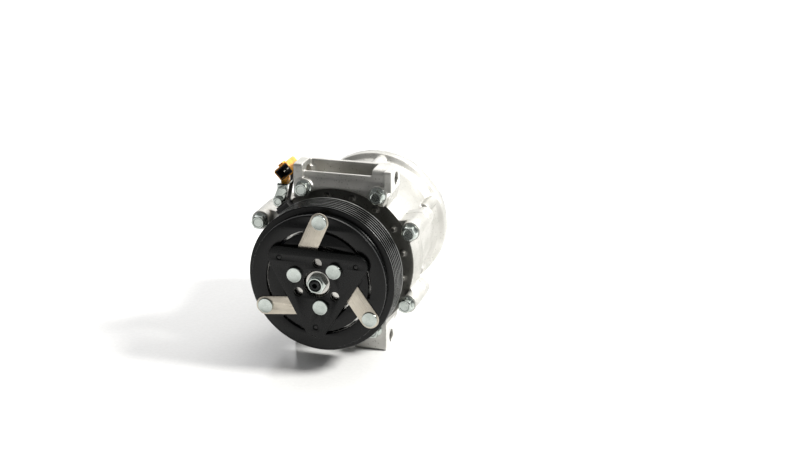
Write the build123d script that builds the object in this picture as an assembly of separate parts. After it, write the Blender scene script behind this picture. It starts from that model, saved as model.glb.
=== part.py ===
from build123d import *
import math
import os

# Automotive air-conditioning compressor: belt pulley and magnetic clutch in front,
# cast housing with four mounting ears, scroll set inside, ported head behind.
# Millimetres. The shaft lies along Y, with the pulley in front (-Y) and +Z up.
# Stations along the shaft ("y") are measured from the pulley's front rim, and the
# finished pieces are moved back by HUB_FACE, so that the origin lies on the shaft
# axis in the front face of the clutch's hub plate.

# ---------------------------------------------------------------- driving dimensions
HUB_FACE = 12.0            # hub plate face ahead of the pulley rim

PULLEY_R = 60.0
PULLEY_WIDTH = 24.5
RIB_PITCH = 3.56           # PK belt profile
GROOVES = 6
GROOVE_DEPTH = 3.0
FRICTION_FACE = -2.0       # friction faces stand this far ahead of the rim

AIR_GAP = 0.5              # clutch gap when the coil is off
ARMATURE_R = 55.2
ARMATURE_FRONT = -8.0
SLOT_R = 42.0              # magnetic slots of the armature

SPRING_R = 49.7            # outer rivets of the leaf springs
SPRING_ANGLE = 88.0
SPRING_WIDTH = 15.0
SPRING_THICK = 0.8
HUB_RIVET_R = 18.9
HUB_RIVET_ANGLE = 160.0
PULLER_R = 17.2
PULLER_HOLE_R = 3.7
CORNER_R = 36.3            # corners of the triangular hub plate
CORNER_ANGLE = 148.0
CORNER_ROUND = 9.5
SPRING_FRONT = ARMATURE_FRONT - SPRING_THICK

SNOUT_R = 17.5             # bearing seat of the housing's nose
BEARING_R = 27.5           # outer race of the pulley bearing
BEARING_FRONT = 1.5
BEARING_WIDTH = 20.0

COIL_INNER_R = 33.0
COIL_OUTER_R = 50.6
COIL_REAR = 26.0

BOLT_SEAT = 40.5           # seats of the front bolts
CASE_JOINT = 68.0          # joint between front housing and scroll housing
HEAD_JOINT = 160.0         # joint between scroll housing and rear head
CASE_R = 62.0
BARREL_R = 53.5
HEAD_R = 60.2
LOBE_R = 7.8

EAR_HOLE_R = 5.1
EAR_Y = 56.0
TOP_EAR_Z = 70.3
LOW_EAR_Z = -64.4
TOP_RIGHT_X = (39.0, 45.5)
TOP_LEFT_X = (-36.2, -28.5)
LOW_RIGHT_X = (14.0, 41.0)
LOW_LEFT_X = (-37.0, -14.0)
FLOOR_Z = -72.5
END_BLOCK_X = 28.0         # solid end of the upper frame beside its right ear

WRAP_STEP = 7.6            # half of the scroll's pitch
WRAP_THICK = 3.4
WRAP_START = WRAP_STEP     # radius of the first half turn, so that the starts clear
WRAP_TURNS = 5             # half turns
FLANK_GAP = 0.15
ORBIT_R = WRAP_STEP - WRAP_THICK - FLANK_GAP
COUPLING_R = 38.2
COUPLING_BALL_R = 2.95
RUNNING_GAP = 0.02

FRONT_BOLTS = (            # (x, z) round the flange from the right; the castings' lobes follow them
    (58.4, -29.6), (61.4, 31.8), (34.3, 59.4), (-27.5, 60.6),
    (-64.4, 29.9), (-60.4, -30.1), (-29.8, -53.8), (31.0, -54.2),
)
HEAD_BOLT_ANGLES = [25.0 + 60.0 * i for i in range(6)]
HEAD_BOLT_R = 54.2
BOOT_ANGLES = (125.5, 137.0)   # ribbed boot where the coil's lead leaves the clutch

PARTS = {}


# ---------------------------------------------------------------- drawing helpers
def keep(name, *solids):
    """Files solids under one node name, moved to the part's own origin."""
    PARTS[name] = [Pos(0, HUB_FACE, 0) * solid for solid in solids]


def polar(radius, angle):
    """A point (x, z) at a radius and an angle from +X, seen from the front."""
    turn = math.radians(angle)
    return radius * math.cos(turn), radius * math.sin(turn)


def rod(radius, y0, y1, centre=(0, 0)):
    """A round bar along the shaft's direction."""
    bar = Cylinder(radius, y1 - y0)
    return Pos(centre[0], (y0 + y1) / 2, centre[1]) * (Rot(90, 0, 0) * bar)


def ring(outer, inner, y0, y1, centre=(0, 0)):
    return rod(outer, y0, y1, centre) - rod(inner, y0 - 1, y1 + 1, centre)


def turned(*points):
    """A body of revolution about the shaft from its (radius, y) outline."""
    return revolve(make_face(Polyline(*points, close=True)), Axis.Y)


def slab(outline, y0, y1):
    """An outline drawn in front view, given thickness from y0 to y1."""
    return extrude(Plane.XZ.offset(-y1) * outline, y1 - y0)


def block(x, y, z):
    """A box from its ranges along X, Y and Z."""
    size = Box(x[1] - x[0], y[1] - y[0], z[1] - z[0])
    return Pos(sum(x) / 2, sum(y) / 2, sum(z) / 2) * size


def disc_at(radius, point):
    return Pos(*point) * Circle(radius)


def link_outline(point_a, radius_a, point_b, radius_b):
    """Two round ends joined by their common tangents."""
    return make_hull((disc_at(radius_a, point_a) + disc_at(radius_b, point_b)).edges())


def sector(radius, start, end):
    """A wedge of a disc, used to cut arcs; it spans less than half a turn."""
    middle = (start + end) / 2
    reach = radius / math.cos(math.radians((end - start) / 4))
    points = [(0, 0), polar(radius, start), polar(reach, (start + middle) / 2)]
    points += [polar(radius, middle), polar(reach, (end + middle) / 2), polar(radius, end)]
    return make_face(Polyline(*points, close=True))


def arc_slot(radius, width, start, end, y0, y1):
    """A slot along an arc, with square ends."""
    half = width / 2
    band = Circle(radius + half) - Circle(radius - half)
    return slab(band & sector(radius * 1.6, start, end), y0, y1)


def circlip(outer, inner, y0, y1, gap_angle):
    """A flat retaining ring, open over 18 degrees."""
    return ring(outer, inner, y0, y1) - slab(
        sector(outer * 1.3, gap_angle - 9, gap_angle + 9), y0 - 1, y1 + 1
    )


def hex_bolt(point, seat, tip, radius, across_flats, head_height, flange_r):
    """A flanged hex bolt whose head faces the front and whose shank runs back."""
    corner = across_flats / math.sqrt(3)
    washer = 1.4
    shank = rod(radius, seat - 1, tip, point)
    collar = rod(flange_r, seat - washer, seat, point)
    head = slab(Pos(*point) * RegularPolygon(corner, 6), seat - head_height, seat - washer)
    crown = Pos(point[0], seat - head_height + 2 * corner - 1.2, point[1]) * Sphere(2 * corner)
    cap = rod(corner * 0.72, seat - head_height - 0.35, seat - head_height + 1, point)
    return shank + collar + (head & crown) + cap


def rear_bolt(point, seat, tip, radius, across_flats, head_height, flange_r):
    """The same bolt with its head facing the rear."""
    bolt = hex_bolt((-point[0], point[1]), -seat, -tip, radius, across_flats, head_height, flange_r)
    return Rot(0, 0, 180) * bolt


def rivet(point, head_r, front, seat, shank_r, tail_seat, tail_r, end):
    """A rivet with a flat head in front and an upset tail behind."""
    head = chamfer(rod(head_r, front, seat, point).edges().group_by(Axis.Y)[0], 0.5)
    tail = rod(tail_r, tail_seat, end, point)
    return head + rod(shank_r, seat - 0.5, end, point) + tail


def torus_at(major, minor, y, centre=(0, 0)):
    return Pos(centre[0], y, centre[1]) * (Rot(90, 0, 0) * Torus(major, minor))


def race_pair(bore_r, land_in, land_out, outer_r, y0, y1, rows, pitch_r, ball_r):
    """Inner and outer race of a ball bearing with a groove for each row."""
    inner = ring(land_in, bore_r, y0, y1)
    outer = ring(outer_r, land_out, y0, y1)
    for y in rows:
        groove = torus_at(pitch_r, ball_r + 2 * RUNNING_GAP, y)
        inner -= groove
        outer -= groove
    return inner, outer


def ball_row(count, pitch_r, ball_r, y):
    spots = [polar(pitch_r, 360 * (i + 0.5) / count) for i in range(count)]
    return [Pos(x, y, z) * Sphere(ball_r) for x, z in spots]


def cage_ring(count, pitch_r, ball_r, half_width, y):
    """A band round the balls with a pocket for each one."""
    band = ring(pitch_r + ball_r * 0.28, pitch_r - ball_r * 0.28, y - half_width, y + half_width)
    for i in range(count):
        pocket = Pos(pitch_r, y, 0) * (Rot(0, 90, 0) * Cylinder(ball_r + 0.12, ball_r))
        band -= Rot(0, -360 * (i + 0.5) / count, 0) * pocket
    return band


def needle_set(count, pitch_r, needle_r, y0, y1, centre=(0, 0)):
    needles = []
    for i in range(count):
        x, z = polar(pitch_r, 360 * i / count)
        needles.append(rod(needle_r, y0, y1, (x + centre[0], z + centre[1])))
    return needles


# ---------------------------------------------------------------- pulley and its bearing
def pulley_rotor():
    """Ribbed rim, friction wall, coil cavity open to the rear and bearing bore."""
    rib_band = GROOVES * RIB_PITCH
    first = (PULLEY_WIDTH - rib_band) / 2
    outline = [
        (25.8, FRICTION_FACE), (54.5, FRICTION_FACE), (55.0, 0.0),
        (PULLEY_R - 0.7, 0.0), (PULLEY_R, 0.7),
    ]
    for i in range(GROOVES):
        middle = first + RIB_PITCH * (i + 0.5)
        crest = PULLEY_R - 0.2
        root = PULLEY_R - GROOVE_DEPTH
        outline += [(crest, middle - 1.32), (root, middle - 0.3)]
        outline += [(root, middle + 0.3), (crest, middle + 1.32)]
    outline += [
        (PULLEY_R, PULLEY_WIDTH - 0.7), (PULLEY_R - 0.7, PULLEY_WIDTH), (52.0, PULLEY_WIDTH),
        (51.5, PULLEY_WIDTH - 0.5), (51.5, 3.5), (32.3, 3.5), (32.3, 24.0),
        (BEARING_R, 24.0), (BEARING_R, 22.9), (29.0, 22.9), (29.0, 21.6),
        (BEARING_R, 21.6), (BEARING_R, BEARING_FRONT), (25.8, BEARING_FRONT),
    ]
    rotor = turned(*outline)
    for radius in (37.0, 48.5):
        for i in range(6):
            start = 60 * i + (0 if radius < 40 else 30)
            rotor -= arc_slot(radius, 2.4, start + 6, start + 54, -3, 4)
    return rotor


keep("pulley_rotor", pulley_rotor())

BALL_ROWS = (6.7, 16.3)
PULLEY_BALL_R = 3.3
PULLEY_PITCH_R = 22.5
inner_race, outer_race = race_pair(
    SNOUT_R, 20.9, 24.1, BEARING_R,
    BEARING_FRONT, BEARING_FRONT + BEARING_WIDTH, BALL_ROWS, PULLEY_PITCH_R, PULLEY_BALL_R,
)
keep("pulley_bearing_inner_race", inner_race)
keep("pulley_bearing_outer_race", outer_race)
keep("pulley_bearing_balls", *[b for y in BALL_ROWS for b in ball_row(16, PULLEY_PITCH_R, PULLEY_BALL_R, y)])
keep("pulley_bearing_cages", *[cage_ring(16, PULLEY_PITCH_R, PULLEY_BALL_R, 4.1, y) for y in BALL_ROWS])
keep("pulley_bearing_seals", ring(24.1, 21.2, 1.8, 2.4), ring(24.1, 21.2, 20.6, 21.2))
keep("pulley_bearing_outer_circlip", circlip(29.0, 26.0, 21.6, 22.9, 270))
keep("pulley_bearing_inner_circlip", circlip(20.3, 16.4, 0.1, BEARING_FRONT, 90))


# ---------------------------------------------------------------- clutch armature
def armature_disc():
    """Friction disc with three arcs of magnetic slot and its rivet holes."""
    disc = ring(ARMATURE_R, 30.0, ARMATURE_FRONT, FRICTION_FACE - AIR_GAP)
    disc = chamfer(disc.edges().group_by(Axis.Y)[0].sort_by(SortBy.RADIUS)[-1], 0.8)
    for i in range(3):
        start = SPRING_ANGLE + 19 + 120 * i
        disc -= arc_slot(SLOT_R, 2.0, start, start + 99, ARMATURE_FRONT - 1, 0)
        point = polar(SPRING_R, SPRING_ANGLE + 120 * i)
        disc -= rod(3.0, ARMATURE_FRONT - 1, 0, point)
        disc -= rod(4.4, -4.0, 0, point)
    return disc


def spring_points(i):
    outer = polar(SPRING_R, SPRING_ANGLE + 120 * i)
    inner = polar(HUB_RIVET_R, HUB_RIVET_ANGLE + 120 * i)
    return outer, inner


def leaf_spring(i):
    """A flat strip with round ends and a rivet hole in each."""
    outer, inner = spring_points(i)
    half = SPRING_WIDTH / 2
    shape = link_outline(outer, half, inner, half) - disc_at(3.0, outer) - disc_at(3.55, inner)
    return slab(shape, SPRING_FRONT, ARMATURE_FRONT)


keep("armature_disc", armature_disc())
keep("leaf_springs", *[leaf_spring(i) for i in range(3)])
keep("armature_rivets", *[
    rivet(polar(SPRING_R, SPRING_ANGLE + 120 * i), 6.2, -10.2, SPRING_FRONT, 3.0, -4.0, 4.4, -2.8)
    for i in range(3)
])


# ---------------------------------------------------------------- clutch hub
PLATE_FRONT = -HUB_FACE


def hub_plate():
    """Triangular plate with round corners, a turned-over edge and its holes."""
    corners = [polar(CORNER_R, CORNER_ANGLE + 120 * i) for i in range(3)]
    discs = disc_at(CORNER_ROUND, corners[0])
    for corner in corners[1:]:
        discs += disc_at(CORNER_ROUND, corner)
    plate = slab(make_hull(discs.edges()), PLATE_FRONT, SPRING_FRONT)
    rim = plate.faces().sort_by(Axis.Y)[0].edges()
    plate = fillet(rim, 0.8)
    plate -= rod(11.0, -13, 0)
    for i, corner in enumerate(corners):
        plate -= rod(2.1, -13, 0, corner)
        plate -= rod(PULLER_HOLE_R, -13, 0, polar(PULLER_R, SPRING_ANGLE + 120 * i))
        plate -= rod(3.5, -13, 0, polar(HUB_RIVET_R, HUB_RIVET_ANGLE + 120 * i))
    return plate


def clutch_hub():
    """Steel hub: front boss, flange under the plate and a keyed barrel."""
    hub = turned(
        (5.0, -9.0), (9.6, -9.0), (10.2, -8.6), (10.2, ARMATURE_FRONT), (26.0, ARMATURE_FRONT),
        (26.0, -4.0), (12.5, -4.0), (11.0, -2.5), (11.0, 5.4), (6.0, 5.4), (6.0, -7.0), (5.0, -7.0),
    )
    for i in range(3):
        hub -= rod(PULLER_HOLE_R, -9, 0, polar(PULLER_R, SPRING_ANGLE + 120 * i))
        hub -= rod(3.5, -9, 0, polar(HUB_RIVET_R, HUB_RIVET_ANGLE + 120 * i))
    return hub - KEY


KEY = block((-1.5, 1.5), (-6.0, 4.0), (4.4, 7.4))
keep("hub_plate", hub_plate())
keep("clutch_hub", clutch_hub())
keep("hub_rivets", *[
    rivet(polar(HUB_RIVET_R, HUB_RIVET_ANGLE + 120 * i), 6.15, -14.7, PLATE_FRONT, 3.5, -4.0, 5.0, -3.0)
    for i in range(3)
])
keep("stop_buffers", *[
    rod(5.5, SPRING_FRONT, ARMATURE_FRONT, polar(CORNER_R, CORNER_ANGLE + 120 * i))
    + rod(2.1, -11.7, SPRING_FRONT, polar(CORNER_R, CORNER_ANGLE + 120 * i))
    for i in range(3)
])

nut_blank = slab(RegularPolygon(14 / math.sqrt(3), 6), -14.0, -9.0)
nut_cone = turned((0, -14.0), (6.6, -14.0), (8.4, -12.9), (8.4, -9.0), (0, -9.0))
nut_collar = turned((0, -16.2), (5.7, -16.2), (6.1, -15.8), (6.1, -13.5), (0, -13.5))
keep("hub_nut", (nut_blank & nut_cone) + nut_collar - rod(4.8, -17, -8))
keep("air_gap_shims", ring(9.5, 6.05, 5.4, 5.8), ring(9.5, 6.05, 5.8, 6.2))
keep("hub_key", KEY)


# ---------------------------------------------------------------- clutch coil
def coil_shell():
    """Steel cup round the winding, with its mounting flange behind."""
    shell = turned(
        (COIL_INNER_R, 5.0), (COIL_INNER_R + 2, 5.0), (COIL_INNER_R + 2, 23.5),
        (COIL_OUTER_R - 2, 23.5), (COIL_OUTER_R - 2, 5.0), (COIL_OUTER_R, 5.0),
        (COIL_OUTER_R, COIL_REAR + 1.6), (19.5, COIL_REAR + 1.6), (19.5, COIL_REAR),
        (COIL_INNER_R, COIL_REAR),
    )
    return shell


def boot_band(inner, outer, start, end):
    return (Circle(outer) - Circle(inner)) & sector(100.0, start, end)


def coil_grommet():
    """Moulded boot, ribbed like a bellows, that carries the coil's lead past the pulley."""
    start, end = BOOT_ANGLES
    boot = slab(boot_band(COIL_OUTER_R, 63.4, start, end), 26.5, 36.5)
    rib_step = (end - start) / 6
    for i in range(6):
        middle = start + rib_step * (i + 0.5)
        boot += slab(boot_band(62.0, 64.9, middle - 0.6, middle + 0.6), 29.5, 36.5)
    return boot


keep("coil_shell", coil_shell())
keep("coil_winding", ring(COIL_OUTER_R - 2, COIL_INNER_R + 2, 7.0, 23.5))
keep("coil_grommet", coil_grommet())
keep("coil_circlip", circlip(23.0, 18.6, 24.7, COIL_REAR, 250))


# ---------------------------------------------------------------- front housing
LUG_AT = polar(68.0, 135.5)    # small lug that carries the connector's bracket
LUG_R = 4.8


def lobe_outline():
    """The case's round flange with a lobe at every front bolt."""
    shape = Circle(CASE_R)
    for point in FRONT_BOLTS:
        root = polar(CASE_R - 12, math.degrees(math.atan2(point[1], point[0])))
        shape += link_outline(point, LOBE_R, root, LOBE_R + 5)
    return shape


def ear(x, y, z, top):
    """A mounting ear: a block whose outer rear edge is rounded about its hole."""
    body = block(x, y, z)
    outer = -1 if top else 0
    rear = body.edges().filter_by(Axis.X).group_by(Axis.Y)[-1].sort_by(Axis.Z)[outer]
    body = fillet(rear, 6.0)
    front = body.edges().filter_by(Axis.X).group_by(Axis.Y)[0].sort_by(Axis.Z)[outer]
    return fillet(front, 2.0)


def top_frame():
    """Box frame between the upper ears: front lip, back wall and visor over the clutch."""
    left, right = TOP_LEFT_X[1] - 0.5, TOP_RIGHT_X[0] + 0.5
    frame = block((left, right), (45.0, CASE_JOINT), (50.0, 73.5))
    frame += block((left, right), (63.5, CASE_JOINT), (60.0, 78.5))
    end_block = block((END_BLOCK_X, right), (45.0, CASE_JOINT), (60.0, 78.7))
    frame += fillet(end_block.edges().filter_by(Axis.X).group_by(Axis.Z)[-1].sort_by(Axis.Y)[0], 5.0)
    pocket = block((TOP_LEFT_X[1], END_BLOCK_X), (47.6, 63.5), (62.6, 90.0))
    pocket = fillet(pocket.edges().filter_by(Axis.Z).group_by(Axis.Y)[-1], 6.0)
    pocket = fillet(pocket.edges().filter_by(Axis.Y).group_by(Axis.Z)[0], 5.0)
    visor = Polyline((41.0, 50.0), (41.0, 62.6), (45.0, 69.0), (50.0, 69.0), (50.0, 50.0), close=True)
    visor = extrude(Plane.YZ.offset(left) * make_face(visor), right - left)
    return (frame + visor) - pocket


def front_housing():
    """Casting with the nose, the bolt lobes, four ears and the main bearing's seat."""
    wall = 49.0
    core = turned(
        (14.0, -1.0), (SNOUT_R, -1.0), (SNOUT_R, 21.5), (19.5, 21.5), (19.5, 27.6),
        (34.0, 27.6), (36.5, wall), (56.0, wall), (56.0, CASE_JOINT), (48.5, CASE_JOINT),
        (48.5, 58.0), (38.0, 58.0), (38.0, 66.5), (31.0, 66.5), (31.0, 50.0),
        (27.0, 50.0), (27.0, 38.0), (12.0, 34.0), (12.0, 18.0), (14.0, 17.0),
    )
    flange = slab(lobe_outline(), wall, CASE_JOINT)
    for point in FRONT_BOLTS:
        flange += rod(LOBE_R, BOLT_SEAT, wall + 1, point)
    ears = ear(TOP_RIGHT_X, (41.0, 66.0), (62.0, 79.0), True)
    ears += ear(TOP_LEFT_X, (41.0, 66.0), (52.0, 80.0), True)
    ears += ear(LOW_RIGHT_X, (41.0, 66.0), (FLOOR_Z, -44.0), False)
    ears += ear(LOW_LEFT_X, (41.0, 66.0), (FLOOR_Z, -44.0), False)
    lug_body = slab(link_outline(LUG_AT, LUG_R, polar(50, 135.5), 8.0), 45.0, 60.0)
    outer = flange + ears + top_frame() + lug_body
    outer += rod(LUG_R, 41.0, 46.0, LUG_AT)
    outer -= rod(CASE_R - 0.6, 30.0, wall)
    outer -= rod(48.5, 30, CASE_JOINT + 1)
    housing = outer + core
    for i in range(16):
        housing += rod(2.2, 45.5, wall + 0.5, polar(54.0, 11 + 22.5 * i))
    for i in range(8):
        rib = Rot(0, 45 * i + 10, 0) * block((37.5, 49.0), (57.5, 66.0), (-1.6, 1.6))
        housing += rib
    for point in FRONT_BOLTS:
        housing -= rod(4.3, 35, 75, point)
    housing -= rod(2.0, 40, 54, LUG_AT)
    for z, right, left in ((TOP_EAR_Z, TOP_RIGHT_X, TOP_LEFT_X), (LOW_EAR_Z, LOW_RIGHT_X, LOW_LEFT_X)):
        hole = Rot(0, 90, 0) * Cylinder(EAR_HOLE_R, right[1] - left[0] + 4)
        housing -= Pos((left[0] + right[1]) / 2, EAR_Y, z) * hole
    relief = Rot(0, 90, 0) * Cylinder(EAR_HOLE_R + 1.5, LOW_RIGHT_X[0] - LOW_LEFT_X[1])
    housing -= Pos(0, EAR_Y, LOW_EAR_Z) * relief
    housing -= ring(SNOUT_R + 1, 16.4, 0.1, BEARING_FRONT)
    housing -= ring(19.5 + 1, 18.6, 24.7, COIL_REAR)
    housing -= ring(15.6, 13.0, 8.4, 9.8)
    housing -= ring(55.0, 52.0, 65.8, CASE_JOINT + 1)
    return housing


keep("front_housing", front_housing())
keep("front_bolts", *[hex_bolt(point, BOLT_SEAT, 82.0, 4.0, 10.0, 7.0, 6.7) for point in FRONT_BOLTS])


# ---------------------------------------------------------------- scroll housing
def scroll_housing():
    """Barrel casting: lobed flange, internal shoulders, rear flange and bolt bosses."""
    barrel = turned(
        (45.0, CASE_JOINT), (58.0, CASE_JOINT), (58.0, 76.0), (55.5, 84.0), (54.5, 92.0),
        (BARREL_R, 112.0), (BARREL_R, 140.0), (56.0, 148.0), (HEAD_R, 152.0),
        (HEAD_R, HEAD_JOINT), (50.4, HEAD_JOINT), (50.4, 134.3), (48.5, 134.3),
        (48.5, 89.0), (45.0, 89.0),
    )
    flange = slab(lobe_outline(), CASE_JOINT, 78.0)
    for point in FRONT_BOLTS:
        flange += rod(LOBE_R - 0.6, CASE_JOINT, 85.0, point)
    flange -= rod(50.0, CASE_JOINT - 1, 90)
    housing = barrel + flange
    for angle in HEAD_BOLT_ANGLES:
        boss = slab(disc_at(4.8, polar(HEAD_BOLT_R, angle)), 124.0, HEAD_JOINT)
        housing += boss - rod(50.4, 120, HEAD_JOINT + 1)
    for angle in HEAD_BOLT_ANGLES:
        rib = block((50.0, BARREL_R + 2.2), (84.0, 126.0), (-1.5, 1.5)) - rod(50.0, 80, 130)
        housing += Rot(0, -angle, 0) * rib
    boss = Rot(0, -175, 0) * (Pos(52.0, 104.0, 0) * (Rot(0, 90, 0) * Cylinder(9.0, 12.0)))
    housing += boss - rod(50.0, 80, 130)
    housing -= Rot(0, -175, 0) * (Pos(54.0, 104.0, 0) * (Rot(0, 90, 0) * Cylinder(5.0, 16.0)))
    for point in FRONT_BOLTS:
        housing -= rod(4.0, 60, 83.5, point)
    for angle in HEAD_BOLT_ANGLES:
        housing -= rod(2.5, 143.5, 165, polar(HEAD_BOLT_R, angle))
    return housing


def oil_plug():
    """Hex plug of the oil filler with its collar; it points out along +X here."""
    hexagon = extrude(RegularPolygon(14 / math.sqrt(3), 6), 5.0)
    plug = Pos(0, 0, 1.5) * hexagon
    plug += Pos(0, 0, 0.75) * Cylinder(8.6, 1.5)
    plug += Pos(0, 0, -3.0) * Cylinder(5.0, 8.0)
    return Rot(0, -175, 0) * (Pos(58.9, 104.0, 0) * (Rot(0, 90, 0) * plug))


def oil_plug_washer():
    washer = Pos(0, 0, 0.45) * (Cylinder(8.2, 0.9) - Cylinder(5.0, 2.0))
    return Rot(0, -175, 0) * (Pos(58.0, 104.0, 0) * (Rot(0, 90, 0) * washer))


keep("scroll_housing", scroll_housing())
keep("oil_plug", oil_plug())
keep("oil_plug_washer", oil_plug_washer())


# ---------------------------------------------------------------- rear head
PORT_FACE = 194.0
SUCTION_AT = (34.0, 10.0)
DISCHARGE_AT = (6.0, 8.0)
PORT_STUD_AT = (19.2, 9.0)
SUCTION_R = 9.5
DISCHARGE_R = 6.5
PORT_STUD_R = 3.4
RELIEF_AT = (-15.0, -6.0)


def rear_head():
    """Head casting: two gas chambers, port pad and the boss of the relief valve."""
    head = turned(
        (0, 178.0), (24.0, 178.0), (24.0, 142.0), (29.0, 142.0), (29.0, 178.0), (44.0, 178.0),
        (44.0, 142.0), (50.3, 142.0), (50.3, HEAD_JOINT), (HEAD_R, HEAD_JOINT), (HEAD_R, 174.5),
        (59.2, 175.5), (51.0, 175.5), (50.0, 181.0), (45.0, 186.0), (0, 186.0),
    )
    pad = link_outline(SUCTION_AT, 14.0, DISCHARGE_AT, 12.5)
    head += slab(pad, 180.0, PORT_FACE)
    head += rod(9.0, 180.0, 189.0, RELIEF_AT)
    head -= rod(SUCTION_R, 177.0, 200.0, SUCTION_AT)
    head -= rod(DISCHARGE_R, 177.0, 200.0, DISCHARGE_AT)
    head -= rod(PORT_STUD_R, 182.0, 200.0, PORT_STUD_AT)
    head -= rod(4.5, 177.0, 200.0, RELIEF_AT)
    for angle in HEAD_BOLT_ANGLES:
        point = polar(HEAD_BOLT_R, angle)
        head -= rod(2.6, 150, 175, point)
        head -= rod(4.9, 169.0, 176.0, point)
    head -= ring(52, 48.0, 150.0, 153.0)
    head -= ring(27.7, 25.3, 141, 144.0)
    return head


def relief_valve():
    """Spring-loaded relief valve: threaded nose, hex and vent cap."""
    hexagon = slab(Pos(*RELIEF_AT) * RegularPolygon(14 / math.sqrt(3), 6), 189.0, 194.0)
    cap = rod(6.0, 194.0, 198.0, RELIEF_AT) - rod(2.0, 196.0, 199.0, RELIEF_AT)
    return rod(4.5, 179.0, 189.0, RELIEF_AT) + hexagon + cap


keep("rear_head", rear_head())
keep("head_bolts", *[
    rear_bolt(polar(HEAD_BOLT_R, angle), 169.0, 145.0, 2.5, 7.0, 5.0, 4.6) for angle in HEAD_BOLT_ANGLES
])
keep("case_o_rings", torus_at(53.5, 1.1, 66.9), torus_at(49.2, 1.15, 151.5), torus_at(26.5, 1.0, 143.0))
keep("relief_valve", relief_valve())


# ---------------------------------------------------------------- scroll set
PLATE_REAR = 106.0         # orbiting plate's wrap side
FIXED_FACE = 134.3         # fixed plate's wrap side
TIP_GAP = 0.3
SEAL_WIDTH = 1.4
DISCHARGE_HOLE = (-1.5, -3.5)
REED_SCREW_AT = (-15.5, -3.5)


def spiral_band(thick):
    """A spiral wall of half circles whose centres swap sides at every half turn."""
    band = None
    for k in range(WRAP_TURNS):
        radius = WRAP_START + WRAP_STEP * k
        side = -1 if k % 2 == 0 else 1
        whole = Circle(radius + thick / 2) - Circle(radius - thick / 2)
        half = whole & (Pos(0, -side * 60) * Rectangle(240, 120))
        half = Pos(side * WRAP_STEP / 2, 0) * half
        band = half if band is None else band + half
    start = (-WRAP_STEP / 2 + WRAP_START, 0)
    last = WRAP_TURNS - 1
    side = -1 if last % 2 == 0 else 1
    end = (side * (WRAP_STEP / 2 + WRAP_START + WRAP_STEP * last), 0)
    return band + disc_at(thick / 2, start) + disc_at(thick / 2, end)


def fixed_scroll():
    """Fixed scroll: wrap, end plate, discharge hole, suction window and reed's screw hole."""
    scroll = slab(spiral_band(WRAP_THICK), PLATE_REAR + TIP_GAP, FIXED_FACE + 0.5)
    scroll -= slab(spiral_band(SEAL_WIDTH), PLATE_REAR, PLATE_REAR + TIP_GAP + 1.0)
    scroll += rod(50.3, FIXED_FACE, 142.0)
    scroll -= rod(3.0, FIXED_FACE - 2, 143, DISCHARGE_HOLE)
    scroll -= arc_slot(39.5, 6.0, 235, 305, FIXED_FACE - 1, 143)
    return scroll - rod(2.5, 137.0, 143, REED_SCREW_AT)


def moved_wrap(thick, y0, y1):
    """The orbiting wrap: the same spiral turned half round, at the crank's offset."""
    return Pos(ORBIT_R, 0, 0) * slab(Rot(0, 0, 180) * spiral_band(thick), y0, y1)


def coupling_points(offset):
    spots = [polar(COUPLING_R, 45 * i + 22.5) for i in range(8)]
    return [(x + offset, z) for x, z in spots]


POCKET_R = COUPLING_BALL_R + ORBIT_R / 2 + 0.05
BALL_Y = 94.4
PLATE_FRONT_Y = 99.8
BUSH_R = 10.0
NEEDLE_R = 1.25
CRANK_AT = (ORBIT_R, 0)


def orbiting_scroll():
    scroll = rod(44.2, PLATE_FRONT_Y, PLATE_REAR, CRANK_AT)
    scroll += moved_wrap(WRAP_THICK, PLATE_REAR - 0.5, FIXED_FACE - TIP_GAP)
    scroll -= moved_wrap(SEAL_WIDTH, FIXED_FACE - TIP_GAP - 1.0, FIXED_FACE)
    return scroll + ring(19.0, 14.5, 84.0, PLATE_FRONT_Y, CRANK_AT)


def coupling_race(offset, outer, inner, y0, y1, mouth, floor):
    race = ring(outer, inner, y0, y1, (offset, 0))
    for point in coupling_points(offset):
        race -= rod(POCKET_R, min(mouth, floor), max(mouth, floor), point)
    return race


keep("fixed_scroll", fixed_scroll())
keep("fixed_tip_seal", slab(spiral_band(SEAL_WIDTH - 0.05), PLATE_REAR + 0.1, PLATE_REAR + TIP_GAP + 1.0))
keep("orbiting_scroll", orbiting_scroll())
keep("orbiting_tip_seal", moved_wrap(SEAL_WIDTH - 0.05, FIXED_FACE - TIP_GAP - 1.0, FIXED_FACE - 0.1))
keep("coupling_fixed_race", coupling_race(0, 48.4, 31.8, 89.0, 93.9, 95.0, 91.4))
keep("coupling_orbiting_race", coupling_race(ORBIT_R, 44.2, 31.8, 94.9, PLATE_FRONT_Y, 94.0, 97.4))
keep("coupling_balls", *[
    Pos(x, BALL_Y, z) * Sphere(COUPLING_BALL_R) for x, z in coupling_points(ORBIT_R / 2)
])


def reed_outline(port_r, screw_r):
    return link_outline(DISCHARGE_HOLE, port_r, REED_SCREW_AT, screw_r)


def reed_stop():
    """Bent stop over the discharge reed, drawn from its side."""
    heel, bend, toe = REED_SCREW_AT[0] - 5, REED_SCREW_AT[0] + 6, DISCHARGE_HOLE[0] + 5
    side = Polyline(
        (heel, 142.4), (bend, 142.4), (toe, 145.6), (toe, 147.4), (bend, 144.4), (heel, 144.4),
        close=True,
    )
    stop = Pos(0, 0, REED_SCREW_AT[1] - 5) * extrude(make_face(side), 10.0)
    return (stop & slab(reed_outline(4.6, 4.6), 140, 150)) - rod(2.5, 140, 150, REED_SCREW_AT)


reed = slab(reed_outline(5.2, 4.6) - disc_at(2.5, REED_SCREW_AT), 142.0, 142.4)
screw = rod(4.2, 144.4, 147.2, REED_SCREW_AT) + rod(2.5, 137.5, 145.0, REED_SCREW_AT)
keep("discharge_reed", reed)
keep("reed_stop", reed_stop())
keep("reed_screw", screw - rod(1.6, 145.4, 148, REED_SCREW_AT))


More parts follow.
